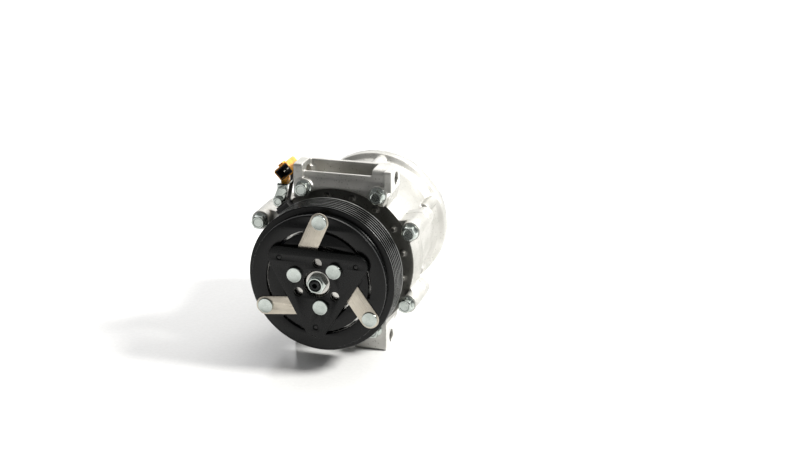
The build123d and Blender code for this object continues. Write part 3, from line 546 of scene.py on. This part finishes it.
def paint(piece, finish, test):
    """Gives a second finish to the faces that pass a test on (centre in mm, normal)."""
    piece.data.materials.append(FINISH[finish])
    slot = len(piece.data.materials) - 1
    count = 0
    for face in piece.data.polygons:
        if test(face.center / MM, face.normal):
            face.material_index = slot
            count += 1
    print(piece.name, finish, "faces", count)


def off_axis(point):
    return math.hypot(point.x, point.z)


# %% [markdown]
# ## Castings
# The frame's castings have knife-sharp corners, and real ones don't: metal won't fill a sharp
# corner in a mould. Each casting is copied, rebuilt from small voxels and smoothed a few
# times, which rounds every corner and fills every root the way a pattern maker's fillet does.
# A little noise then moves the skin by hundredths of a millimetre. Faces that a cutter
# touched afterwards are flat and paler, and are picked out by where they lie.

# %% Soft cast skin
def cast_copy(node, name, finish, voxel_mm, passes, waviness_mm):
    """A copy of a frame node with soft corners and an uneven skin."""
    bm = bmesh.new()
    bm.from_mesh(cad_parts[node].data)
    bmesh.ops.remove_doubles(bm, verts=bm.verts, dist=2e-6)
    piece = keep_piece(bm, name, finish)
    remesh = piece.modifiers.new("voxels", "REMESH")
    remesh.mode = "VOXEL"
    remesh.voxel_size = voxel_mm * MM * 1.0
    smooth = piece.modifiers.new("smooth", "SMOOTH")
    smooth.factor = 0.5
    smooth.iterations = passes
    bpy.context.view_layer.update()
    mesh = bpy.data.meshes.new_from_object(piece.evaluated_get(bpy.context.evaluated_depsgraph_get()))
    piece.modifiers.clear()
    piece.data = mesh
    points = np.zeros(len(mesh.vertices) * 3, np.float32)
    mesh.vertices.foreach_get("co", points)
    points = points.reshape(-1, 3)
    normals = np.array([v.normal for v in mesh.vertices], np.float32)
    shift = np.array([noise.noise(Vector(p) / (6 * MM)) for p in points], np.float32)
    points -= normals * ((shift + 0.6) * waviness_mm * MM)[:, None]
    mesh.vertices.foreach_set("co", points.ravel())
    mesh.materials.clear()
    mesh.materials.append(FINISH[finish])
    mesh.shade_smooth()
    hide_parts(node)
    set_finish(piece, "cast_aluminium")
    print(name, "faces", len(mesh.polygons))
    return piece


front_casting = cast_copy("front_housing", "front_casting", "cast_aluminium", 0.62, 4, 0.05)
barrel_casting = cast_copy("scroll_housing", "barrel_casting", "cast_aluminium", 0.75, 4, 0.05)
head_casting = cast_copy("rear_head", "head_casting", "cast_aluminium", 0.70, 3, 0.05)

# %% Milled faces of the castings
head_rear = box_mm("rear_head")[1][1]
paint(front_casting, "milled_aluminium", lambda c, n: n.x > 0.97 and c.x > 40 and abs(c.z) > 50)
paint(front_casting, "milled_aluminium", lambda c, n: off_axis(c) < 19.5 and c.y < RIM + 22)
POCKET_R = 61.6
POCKET_Y = (RIM + 22, RIM + 49.6)


def in_pocket(c, n):
    """Inside the round pocket behind the pulley."""
    return 20 < off_axis(c) < POCKET_R and POCKET_Y[0] < c.y < POCKET_Y[1]


# Faces in the pocket take the darker cast colour: painted shade of the recess behind the pulley.
paint(front_casting, "cast_painted_shade", in_pocket)
paint(head_casting, "milled_aluminium", lambda c, n: n.y > 0.97 and c.y > head_rear - 0.6)
paint(head_casting, "milled_aluminium", lambda c, n: off_axis(c) > 59.4 and n.y < 0.5)
for casting in (front_casting, barrel_casting, head_casting):
    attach(casting, "housing")

# %% [markdown]
# ## Pulley
# The belt wheel is turned from a forging: six 40 degree grooves at 3.56 mm pitch, a friction
# wall in front with two rows of slots that steer the magnet's field, and a deep cavity for
# the coil. It is spun with 256 steps so that its rim stays round. The rib crests show as thin
# dull rings, partly coat worn off and partly a painted highlight; the friction wall runs bare.

# %% Build the pulley
PITCH = 3.56
GROOVES = 6
PULLEY_R = box_mm("pulley_rotor")[1][0]
WIDTH = box_mm("pulley_rotor")[1][1] - RIM
rim_outline = [(54.5, -2.0), (55.0, 0.0), (PULLEY_R - 0.7, 0.0), (PULLEY_R, 0.7)]
first_groove = (WIDTH - GROOVES * PITCH) / 2
for i in range(GROOVES):
    middle = first_groove + PITCH * (i + 0.5)
    rim_outline += [(PULLEY_R - 0.2, middle - 1.32), (PULLEY_R - 3.0, middle - 0.3)]
    rim_outline += [(PULLEY_R - 3.0, middle + 0.3), (PULLEY_R - 0.2, middle + 1.32)]
rim_outline += [(PULLEY_R, WIDTH - 0.7), (PULLEY_R - 0.7, WIDTH), (52.0, WIDTH), (51.5, WIDTH - 0.5)]
rim_outline += [(51.5, 3.5), (51.2, 3.5), (51.2, -2.0)]
hub_outline = [
    (25.8, -2.0), (32.6, -2.0), (32.6, 3.5), (32.3, 3.5), (32.3, 24.0), (27.5, 24.0), (27.5, 22.9),
    (29.0, 22.9), (29.0, 21.6), (27.5, 21.6), (27.5, 1.5), (25.8, 1.5),
]
bm = bmesh.new()
for outline in (rim_outline, hub_outline):
    spin_outline(bm, softened([(r, y + RIM) for r, y in outline], 0.12, 2))
slots = [arc_slot(37.0, 2.4, 60 * i + 6, 60 * i + 54) for i in range(6)]
slots += [arc_slot(48.5, 2.4, 60 * i + 36, 60 * i + 84) for i in range(6)]
wall = bmesh.new()
flat_piece(wall, circle((0, 0), 51.25, 256), [circle((0, 0), 32.55, 256), *slots], RIM - 2, RIM + 3.5, 0.1)
wall_mesh = bpy.data.meshes.new("friction_wall")
wall.to_mesh(wall_mesh)
wall.free()
bm.from_mesh(wall_mesh)
pulley = keep_piece(bm, "ribbed_pulley", "black_coat", 25)
# The rib crests take a paler metal: worn coat, plus a painted highlight along each crest.
paint(pulley, "worn_crest_and_highlight", lambda c, n: off_axis(c) > PULLEY_R - 0.45 and c.y > RIM + 0.4)
paint(pulley, "turned_edge", lambda c, n: n.y < -0.9 and c.y < RIM - 1.9)
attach(pulley, "pulley")
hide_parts("pulley_rotor")
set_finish(pulley, "black_ecoat")
print("pulley radius", round(PULLEY_R, 2), "width", round(WIDTH, 2))

# %% [markdown]
# ## Armature disc
# The friction disc is a flat steel ring with three arcs of slot, which stop the magnet's
# field from short-circuiting through it. Its outer edge has a wide chamfer. It is a filled
# curve with its slots and rivet holes as inner loops, edges rolled by 0.45 mm.

# %% Build the armature
rivets_outer = sorted(solids_of("armature_rivets"), key=lambda pair: -pair[1][2])
spring_spots = [centre_xz(pair) for pair in rivets_outer]
start_angle = math.degrees(math.atan2(spring_spots[0][1], spring_spots[0][0]))
disc_low, disc_high = box_mm("armature_disc")
slots = [arc_slot(42.0, 2.0, start_angle + 19 + 120 * i, start_angle + 118 + 120 * i) for i in range(3)]
holes = [circle((0, 0), 30.0, 192), *slots, *[circle(spot, 3.0) for spot in spring_spots]]
bm = bmesh.new()
rear_face = disc_high[1] - 0.03  # a hair short, so that the closed clutch never cuts into the pulley
flat_piece(bm, circle((0, 0), disc_high[0], 256), holes, disc_low[1], rear_face, 0.45)
armature = keep_piece(bm, "armature_friction_disc", "black_coat")
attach(armature, "armature")
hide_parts("armature_disc")
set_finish(armature, "black_ecoat")
print("armature radius", round(disc_high[0], 2))

# %% [markdown]
# ## Leaf springs
# Three strips pull the armature back off the pulley when the magnet lets go. Each is riveted
# to the armature at its outer end and to the hub at its inner end, so when the armature
# moves half a millimetre the strip bends between them. Here each strip is drawn flat, and
# its outline gets a point every 2 mm.

# %% Build the springs
rivets_inner = [centre_xz(pair) for pair in solids_of("hub_rivets")]
spring_low, spring_high = box_mm("leaf_springs")
STRIP_HALF = 7.5
HUB_RIVET_R = 18.9
SPRING_SWEEP = 72.0  # degrees between a strip's outer and inner rivet
for number, outer in enumerate(spring_spots):
    turn = math.degrees(math.atan2(outer[1], outer[0])) + SPRING_SWEEP
    inner = min(rivets_inner, key=lambda spot: math.dist(spot, polar(HUB_RIVET_R, turn)))
    outline = finer(hull([(outer, STRIP_HALF), (inner, STRIP_HALF)]), 2.0)
    bm = bmesh.new()
    flat_piece(bm, outline, [circle(outer, 3.0), circle(inner, 3.55)], spring_low[1], spring_high[1], 0.12)
    spring = keep_piece(bm, f"leaf_spring_{number + 1}", "spring_steel")
    run = Vector((outer[0] - inner[0], 0, outer[1] - inner[1])).normalized()
    across = run.cross(Vector((0, 1, 0)))
    strip = spring.data.attributes.new("strip", "FLOAT_VECTOR", "POINT")
    for vert, value in zip(spring.data.vertices, strip.data):
        value.vector = (vert.co.dot(run) / MM, vert.co.dot(across) / MM, vert.co.y / MM + 40 * number)
    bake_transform(spring)
    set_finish(spring, "spring_steel")
    if number == 0:
        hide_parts("leaf_springs")
    print(spring.name, "runs", round(math.dist(inner, outer), 1), "mm")

# %% [markdown]
# ## Hub plate
# A pressed triangular plate on the hub, its corners over three rubber stop buttons whose
# posts fill a small hole in each corner. The plate is the hull of three discs, drawn as a
# filled curve so that its edge is rolled over like a pressed edge.

# %% Build the hub plate
corners = [centre_xz(pair) for pair in solids_of("stop_buffers")]
plate_low, plate_high = box_mm("hub_plate")
PULLER_R = 17.2
CORNER_ROUND = 9.5
puller_holes = [polar(PULLER_R, start_angle + 120 * i) for i in range(3)]
holes = [circle((0, 0), 11.0, 128)]
holes += [circle(spot, 3.7, 64) for spot in puller_holes]
holes += [circle(spot, 3.5, 64) for spot in rivets_inner]
holes += [circle(spot, 2.1, 48) for spot in corners]
bm = bmesh.new()
flat_piece(bm, hull([(spot, CORNER_ROUND) for spot in corners]), holes, plate_low[1], plate_high[1], 0.4)
plate = keep_piece(bm, "clutch_hub_plate", "black_coat_plate", 40)
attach(plate, "shaft")
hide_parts("hub_plate")
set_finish(plate, "black_ecoat")
print("plate corners", [tuple(round(c, 1) for c in spot) for spot in corners])

# %% Stop buttons
bm = bmesh.new()
for pair in solids_of("stop_buffers"):
    x, z = centre_xz(pair)
    front, rear = pair[0][1], pair[1][1]
    post = [(0.4, 0.25), (1.1, 0.0), (1.7, -0.25), (2.0, -0.8), (2.0, front - rear + 0.9)]
    rings = [round_ring(5.4, 0.0), round_ring(5.5, 0.3), round_ring(5.5, 0.75)]
    rings += [round_ring(r, rear - front + h, 72) for r, h in reversed(post)]
    loft(bm, rings, standing_at(x, rear, z, FACING_FRONT))
buttons = keep_piece(bm, "rubber_stop_buttons", "nitrile", 50)
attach(buttons, "shaft")
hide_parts("stop_buffers")
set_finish(buttons, "rubber")

# %% [markdown]
# ## Rivets
# Six flat-headed rivets, zinc plated. The riveting tool leaves a faint raised lip at the edge
# of the head and a slight dish inside it. Each is lofted from its tail to its head.

# %% Build the rivets
def rivet(bm, pair, shank_r, head_r, head_h, tail_r, tail_h):
    """One rivet in the box of its solid, head to the front."""
    x, z = centre_xz(pair)
    front, rear = pair[0][1], pair[1][1]
    full = rear - front
    profile = [
        (tail_r - 0.5, 0.0), (tail_r, 0.3), (tail_r, tail_h), (shank_r, tail_h + 0.05),
        (shank_r, full - head_h), (head_r - 0.1, full - head_h), (head_r, full - head_h + 0.2),
        (head_r, full - 0.55), (head_r - 0.18, full - 0.2), (head_r - 0.55, full),
        (head_r - 1.0, full - 0.03), (head_r - 1.4, full - 0.12), (head_r * 0.3, full - 0.16),
    ]
    loft(bm, [round_ring(r, h) for r, h in profile], standing_at(x, rear, z, FACING_FRONT))


bm = bmesh.new()
for pair in rivets_outer:
    rivet(bm, pair, 2.95, 6.2, 1.4, 4.35, 1.15)
armature_rivets = keep_piece(bm, "armature_flat_rivets", "zinc_plate", 28)
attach(armature_rivets, "armature")
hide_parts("armature_rivets")
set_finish(armature_rivets, "zinc_steel")
bm = bmesh.new()
for pair in solids_of("hub_rivets"):
    rivet(bm, pair, 3.45, 6.15, 2.7, 4.95, 0.95)
hub_rivets = keep_piece(bm, "hub_flat_rivets", "zinc_plate", 28)
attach(hub_rivets, "shaft")
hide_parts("hub_rivets")
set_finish(hub_rivets, "zinc_steel")
print("rivets built")

# %% [markdown]
# ## Hub and nut
# The turned hub shows in the plate's centre hole, with the hub nut on the shaft's thread.
# The nut is six-sided with a thin locking collar, so from the front it reads as a bright ring
# round the shaft's end. The hub is drawn anew as a turned piece, and its solid in the frame
# is hidden.

# %% Build the hub and the nut
bm = bmesh.new()
hub_outline = [
    (5.0, -9.0), (9.6, -9.0), (10.2, -8.6), (10.2, -8.0), (26.0, -8.0), (26.0, -4.0), (12.5, -4.0),
    (11.0, -2.5), (11.0, 5.4), (6.0, 5.4), (6.0, -7.0), (5.0, -7.0),
]
spin_outline(bm, softened([(r, y + RIM) for r, y in hub_outline], 0.3, 3))
hub = keep_piece(bm, "clutch_hub_turned", "ground_steel")
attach(hub, "shaft")
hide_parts("clutch_hub")
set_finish(hub, "bare_steel")
nut_low, nut_high = box_mm("hub_nut")
tall = nut_high[1] - nut_low[1]
rings = [
    round_ring(4.85, 0.3), round_ring(5.3, 0.0), round_ring(6.6, 0.0), hex_ring(14.0, 0.35),
    hex_ring(14.0, 5.0, chamfer_from=6.6), round_ring(6.6, 5.0), round_ring(6.1, 5.05),
    round_ring(6.1, tall - 0.3), round_ring(5.85, tall), round_ring(5.1, tall),
    round_ring(4.85, tall - 0.4),
]
bm = bmesh.new()
loft(bm, rings, standing_at(0, nut_high[1], 0, FACING_FRONT), joined=True)
nut = keep_piece(bm, "hub_lock_nut", "zinc_plate", 28)
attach(nut, "shaft")
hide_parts("hub_nut")
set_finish(nut, "zinc_steel")
print("nut height", round(tall, 2))

# %% [markdown]
# ## Bolts
# Eight flange bolts clamp the front casting and six smaller ones the rear head. A flange
# bolt's head is six-sided with a 30 degree chamfer, and forging leaves a round dish in its
# top. The same lofting function draws both sizes, turned by a different amount each time.

# %% Build the bolts
def flange_bolt(bm, place, across, head_h, flange_r, shank_r, length, turn):
    """Shank, washer face, sloped flange, hex with its chamfer, dished top."""
    top_r = across * 0.47
    rings = [
        round_ring(shank_r - 0.6, -length), round_ring(shank_r, -length + 0.6), round_ring(shank_r, 0.0),
        round_ring(flange_r - 0.3, 0.0), round_ring(flange_r, 0.3), round_ring(flange_r, 0.85),
        round_ring(flange_r - 0.25, 1.2), hex_ring(across, 2.1, turn),
        hex_ring(across, head_h, turn, chamfer_from=top_r), round_ring(top_r, head_h),
        round_ring(top_r - 0.9, head_h), round_ring(top_r - 1.3, head_h - 0.35),
        round_ring(1.0, head_h - 0.4),
    ]
    loft(bm, rings, place)


bm = bmesh.new()
for number, pair in enumerate(solids_of("front_bolts")):
    x, z = centre_xz(pair)
    head_h = 7.3
    seat = pair[0][1] + head_h
    place = standing_at(x, seat, z, FACING_FRONT)
    flange_bolt(bm, place, 10.0, head_h, 6.65, 3.95, pair[1][1] - seat, 17 * number)
front_bolts = keep_piece(bm, "front_flange_bolts", "zinc_plate", 28)
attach(front_bolts, "housing")
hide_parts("front_bolts")
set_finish(front_bolts, "zinc_steel")
bm = bmesh.new()
for number, pair in enumerate(solids_of("head_bolts")):
    low, high = pair
    x, z = centre_xz(pair)
    flange_r = (high[0] - low[0]) / 2
    head_h = 5.2
    place = standing_at(x, high[1] - head_h, z, FACING_REAR)
    flange_bolt(bm, place, 7.0, head_h, flange_r - 0.05, 2.45, high[1] - head_h - low[1], 23 * number)
head_bolts = keep_piece(bm, "head_flange_bolts", "zinc_plate", 28)
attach(head_bolts, "housing")
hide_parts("head_bolts")
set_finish(head_bolts, "zinc_steel")
print("bolts", len(solids_of("front_bolts")), "front", len(solids_of("head_bolts")), "rear")

# %% [markdown]
# ## Coil connector
# The magnet's lead leaves through a ribbed boot beside the pulley and climbs to a small
# yellow shell on a pressed bracket. The shell is lofted as a rounded rectangle: in along
# its hollow, over the lip and back along the outside, so the wall has a real thickness.

# %% Build the connector
def rounded_rectangle(width, height, radius, y, steps=10):
    """Corner arcs of a rectangle, as points with the same height."""
    points = []
    for sx, sz, start in ((1, 1, 0), (-1, 1, 90), (-1, -1, 180), (1, -1, 270)):
        centre = (sx * (width / 2 - radius), sz * (height / 2 - radius))
        points += [(x, z, y) for x, z in arc(centre, radius, start, start + 90, steps)]
    return points


shell_low, shell_high = box_mm("connector_shell")
insert_low, insert_high = box_mm("connector_insert")
SHELF_X = (-49.5, -40.8)
mid_x = (insert_low[0] + insert_high[0]) / 2
mid_z = (insert_low[2] + insert_high[2]) / 2
TILT = 42.0
rear_y, mouth_y = shell_high[1], shell_low[1]
depth = rear_y - mouth_y
tilted = standing_at(mid_x, rear_y, mid_z, FACING_FRONT @ Matrix.Rotation(math.radians(TILT), 4, "Z"))
bm = bmesh.new()
rings = [
    rounded_rectangle(12.4, 9.0, 1.0, 2.6), rounded_rectangle(12.4, 9.0, 1.0, depth - 0.3),
    rounded_rectangle(12.8, 9.4, 1.3, depth), rounded_rectangle(13.7, 10.3, 1.8, depth),
    rounded_rectangle(14.2, 10.8, 2.0, depth - 0.4), rounded_rectangle(14.2, 10.8, 2.0, 0.6),
    rounded_rectangle(13.2, 9.8, 1.6, 0.0),
]
loft(bm, rings, tilted)
block(bm, (-2.5, 5.0, 9.0), (2.5, 6.9, 15.0), 0.4, tilted)
shelf_top = box_mm("connector_bracket")[1][2]
block(bm, (-48.0, mouth_y + 1, shelf_top), (-43.0, mouth_y + 9, shelf_top + 3.0), 0.3)
shell = keep_piece(bm, "yellow_connector_shell", "yellow_pbt", 30)
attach(shell, "housing")
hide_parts("connector_shell")
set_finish(shell, "yellow_plastic")
bm = bmesh.new()
rings = [
    rounded_rectangle(12.3, 8.9, 1.0, 2.6), rounded_rectangle(12.3, 8.9, 1.0, depth - 0.6),
    rounded_rectangle(11.0, 7.6, 0.6, depth - 0.6), rounded_rectangle(10.9, 7.5, 0.6, depth - 9.9),
]
loft(bm, rings, tilted)
block(bm, (-3.9, -2.2, depth - 10.4), (3.9, 2.2, depth - 7.5), 0.3, tilted)
insert = keep_piece(bm, "connector_terminal_block", "black_nylon", 30)
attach(insert, "housing")
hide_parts("connector_insert")
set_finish(insert, "black_plastic")
print("connector mouth at y", round(mouth_y, 1), "depth", round(depth, 1))

# %% Grommet, bracket and screw
grommet = cast_copy("coil_grommet", "lead_grommet", "black_nylon", 0.30, 5, 0.01)
grommet["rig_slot"] = "black_plastic"
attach(grommet, "housing")
screw_x, screw_z = centre_xz(solids_of("bracket_screw")[0])
bracket_low, bracket_high = box_mm("connector_bracket")
bm = bmesh.new()
strip = hull([((screw_x, screw_z), 4.8), ((-45.2, 57.0), 4.3), ((-44.2, 58.4), 3.4)])
flat_piece(bm, strip, [circle((screw_x, screw_z), 2.2)], bracket_low[1], bracket_low[1] + 1.2, 0.2)
front, thick = bracket_low[1], 1.2
block(bm, (SHELF_X[0], front, 57.0), (SHELF_X[1], front + thick, bracket_high[2]), 0.25)
shelf_low = (SHELF_X[0], front, bracket_high[2] - thick)
block(bm, shelf_low, (SHELF_X[1], bracket_high[1], bracket_high[2]), 0.25)
bracket = keep_piece(bm, "pressed_bracket", "zinc_plate", 30)
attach(bracket, "housing")
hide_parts("connector_bracket")
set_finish(bracket, "zinc_steel")
bm = bmesh.new()
screw = solids_of("bracket_screw")[0]
seat = bracket_low[1]
place = standing_at(screw_x, seat, screw_z, FACING_FRONT)
flange_bolt(bm, place, 7.0, seat - screw[0][1], 4.6, 1.9, 12.0, 9)
clamp = keep_piece(bm, "bracket_flange_screw", "zinc_plate", 28)
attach(clamp, "housing")
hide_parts("bracket_screw")
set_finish(clamp, "zinc_steel")

# %% [markdown]
# ## Lead
# Two wires in a spiral-wrapped sleeve run from the ribbed boot, back behind the bracket and up
# into the connector's underside. Both ends are held and the run is 30 mm, so it can't droop.
# The sleeve is lofted along the route, its radius rising and falling with every 1.8 mm turn
# of the wrap.

# %% Build the lead
ROUTE = [
    (-39.3, 36.5, 49.0), (-40.6, 42.0, 50.6), (-41.8, 47.5, 52.3),
    (-42.6, 53.5, 56.5), (-42.9, 57.6, 61.5), (-43.2, 58.6, 65.9),
]
ROUTE = [Vector((x, y + RIM, z)) for x, y, z in ROUTE]


def smooth_route(points, leave, arrive, steps):
    """A smooth line through the points, with a given direction at both ends."""
    line = []
    ghosts = [points[1] - leave * 12, *points, points[-2] + arrive * 12]
    for before, a, b, after in zip(ghosts, ghosts[1:], ghosts[2:], ghosts[3:]):
        for i in range(steps):
            t = i / steps
            line.append(0.5 * (2 * a + (b - before) * t + (2 * before - 5 * a + 4 * b - after) * t ** 2
                               + (3 * a - before - 3 * b + after) * t ** 3))
    return line + [points[-1]]


route = smooth_route(ROUTE, Vector((0, 1, 0)), Vector((0, 0, -1)), 24)
length = sum((b - a).length for a, b in zip(route, route[1:]))
bm = bmesh.new()
rings, travelled, side = [], 0.0, Vector((1, 0, 0))
for i, point in enumerate(route):
    ahead = (route[min(i + 1, len(route) - 1)] - route[max(i - 1, 0)]).normalized()
    side = (side - ahead * side.dot(ahead)).normalized()
    other = ahead.cross(side)
    if i:
        travelled += (point - route[i - 1]).length
    ring = []
    for k in range(24):
        turn = math.tau * k / 24
        radius = 1.6 + 0.09 * math.sin(math.tau * travelled / 1.8 + turn)
        ring.append(point + (side * math.cos(turn) + other * math.sin(turn)) * radius)
    rings.append(ring)
loft(bm, rings, Matrix.Identity(4))
lead = keep_piece(bm, "sleeved_coil_lead", "nitrile", 60)
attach(lead, "housing")
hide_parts("coil_lead")
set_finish(lead, "rubber")
print("lead length", round(length, 1), "mm")

# %% [markdown]
# ## Oil plug and relief valve
# The filler plug stands on the barrel's side and the relief valve on the rear head. Both are
# six-sided screws with a collar, so the lofting helpers are used again; the plug's place
# comes from its box in the frame.

# %% Build the plug and the valve
washer_low, washer_high = box_mm("oil_plug_washer")
middle = [(a + b) / 2 for a, b in zip(washer_low, washer_high)]
outward = Vector((middle[0], 0, middle[2])).normalized()
facing = Vector((0, 0, 1)).rotation_difference(outward).to_matrix().to_4x4()
bm = bmesh.new()
base = Vector(middle) + outward * 0.45
rings = [
    round_ring(4.6, -7.0), round_ring(4.95, -6.4), round_ring(4.95, 0.0), round_ring(8.3, 0.0),
    round_ring(8.6, 0.3), round_ring(8.6, 1.2), round_ring(8.3, 1.5), hex_ring(14.0, 1.6),
    hex_ring(14.0, 6.4, chamfer_from=6.5), round_ring(6.5, 6.4), round_ring(5.2, 6.4),
    round_ring(4.8, 5.9),
]
loft(bm, rings, Matrix.Translation(base * MM) @ facing)
plug = keep_piece(bm, "oil_filler_plug", "zinc_plate", 28)
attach(plug, "housing")
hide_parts("oil_plug")
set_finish(plug, "zinc_steel")
valve_low, valve_high = box_mm("relief_valve")
x, z = (valve_low[0] + valve_high[0]) / 2, (valve_low[2] + valve_high[2]) / 2
hex_base = valve_high[1] - 9.0
rings = [
    round_ring(4.2, -10.0), round_ring(4.4, -9.6), round_ring(4.4, 0.0), hex_ring(14.0, 0.0),
    hex_ring(14.0, 5.0, chamfer_from=6.6), round_ring(6.3, 5.0), round_ring(6.0, 5.2),
    round_ring(6.0, 8.7), round_ring(5.7, 9.0), round_ring(2.3, 9.0), round_ring(2.0, 8.7),
    round_ring(2.0, 7.0),
]
bm = bmesh.new()
loft(bm, rings, standing_at(x, hex_base, z, FACING_REAR))
valve = keep_piece(bm, "pressure_relief_valve", "zinc_plate", 28)
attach(valve, "housing")
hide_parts("relief_valve")
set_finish(valve, "brass")
print("plug at", [round(c, 1) for c in base], "valve at", round(x, 1), round(z, 1))

# %% [markdown]
# ## Pieces kept from the frame
# Bearings, coil, shaft, scrolls and seals are exact turned or ground shapes already, and
# most of them are inside. They keep their solids and take the finish of what they are.

# %% Finishes of the kept pieces
KEPT = {
    "ground_steel": ["drive_bush", "hub_key", "air_gap_shims", "reed_stop", "reed_screw"],
    "bearing_steel": [
        "pulley_bearing_inner_race", "pulley_bearing_outer_race", "pulley_bearing_balls",
        "main_bearing_inner_race", "main_bearing_outer_race", "main_bearing_balls", "front_needle_cup",
        "front_needles", "drive_needle_cup", "drive_needles", "coupling_fixed_race",
        "coupling_orbiting_race", "coupling_balls",
    ],
    "cage_nylon": ["pulley_bearing_cages", "main_bearing_cage"],
    "phosphate": [
        "main_shaft",
        "pulley_bearing_inner_circlip", "pulley_bearing_outer_circlip", "coil_circlip", "seal_circlip",
    ],
    "nitrile": ["case_o_rings", "pulley_bearing_seals", "shaft_seal"],
    "drawn_steel": ["coil_shell", "oil_plug_washer"],
    "coil_resin": ["coil_winding"],
    "tinned_copper": ["connector_pins"],
    "milled_aluminium": ["fixed_scroll", "orbiting_scroll"],
    "ptfe": ["fixed_tip_seal", "orbiting_tip_seal"],
    "grey_iron": ["counterweight"],
    "reed_steel": ["discharge_reed"],
}
for finish, nodes in KEPT.items():
    for node in nodes:
        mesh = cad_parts[node].data
        mesh.materials.clear()
        mesh.materials.append(FINISH[finish])
finished = {node for nodes in KEPT.values() for node in nodes}
left = [n for n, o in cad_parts.items() if not o.hide_render and n not in finished]
print("kept", sum(len(nodes) for nodes in KEPT.values()), "without a finish", left)

# %% [markdown]
# ## Floor, light and camera
# The part stands on a glossy white sheet. One large key light hangs to its right, so that side
# of the castings burns out and a long soft shadow falls to the left. A second lamp overhead
# and behind whitens every upward face; the front is lit only by the white sheet and a dim
# room. The room is brighter behind than in front.

# %% Floor
bm = bmesh.new()
bmesh.ops.create_circle(bm, cap_ends=True, radius=9.0, segments=96)
bmesh.ops.translate(bm, verts=bm.verts, vec=(0, 0, cad_low.z - 0.00005))
FINISH["floor_sheet"] = grained(
    "white_gloss_laminate", "#F4F4F4", "#EDEDED", 3.0, 0.0, (0.16, 0.20), patch_mm=400.0)
floor = keep_piece(bm, "floor", "floor_sheet")
floor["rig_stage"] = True

# %% Light and room
def area_light(name, place, aim, size, power, colour):
    light = bpy.data.lights.new(name, "AREA")
    light.shape = "DISK"
    light.size = size
    light.energy = power
    light.color = to_linear(colour)[:3]
    lamp = bpy.data.objects.new(name, light)
    lamp.location = place
    lamp.rotation_euler = (Vector(aim) - Vector(place)).to_track_quat("-Z", "Y").to_euler()
    bpy.context.scene.collection.objects.link(lamp)
    return lamp


area_light("key", (1.45, 0.30, 1.20), (0, 0.08, 0), 0.5, 58.0, "#FFFEFA")
area_light("top", (0.05, 0.85, 1.3), (0, 0.1, 0), 1.0, 7.0, "#FFFDF8")
world = bpy.data.worlds.new("room")
bpy.context.scene.world = world
world.use_nodes = True
tree = world.node_tree
ray = add(tree, "TexCoord", {}).outputs["Generated"]
back = add(tree, "SeparateXYZ", {0: ray}).outputs["Y"]
glow = spread(tree, back, 0.0, 0.9, 0.20, 1.9)
seen = add(tree, "LightPath", {}).outputs["Is Camera Ray"]
strength = add(tree, "Mix", {0: seen, 2: glow, 3: 1.0}).outputs[0]
tree.links.new(strength, tree.nodes["Background"].inputs["Strength"])
tree.nodes["Background"].inputs["Color"].default_value = (1, 1, 1, 1)

# %% Camera
camera = bpy.data.objects.new("camera", bpy.data.cameras.new("camera"))
camera.data.lens = 90.0
camera.data.sensor_width = 36.0
camera.location = (0.4662, -1.3916, 0.5405)
camera.rotation_euler = Vector((-0.26094, 0.91146, -0.31803)).to_track_quat("-Z", "Y").to_euler()
bpy.context.scene.collection.objects.link(camera)
bpy.context.scene.camera = camera
bpy.context.scene.view_settings.view_transform = "Standard"

low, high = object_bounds()
print("grew by mm", [round((a - b) / MM, 2) for a, b in zip(cad_low, low)],
      [round((b - a) / MM, 2) for a, b in zip(cad_high, high)])
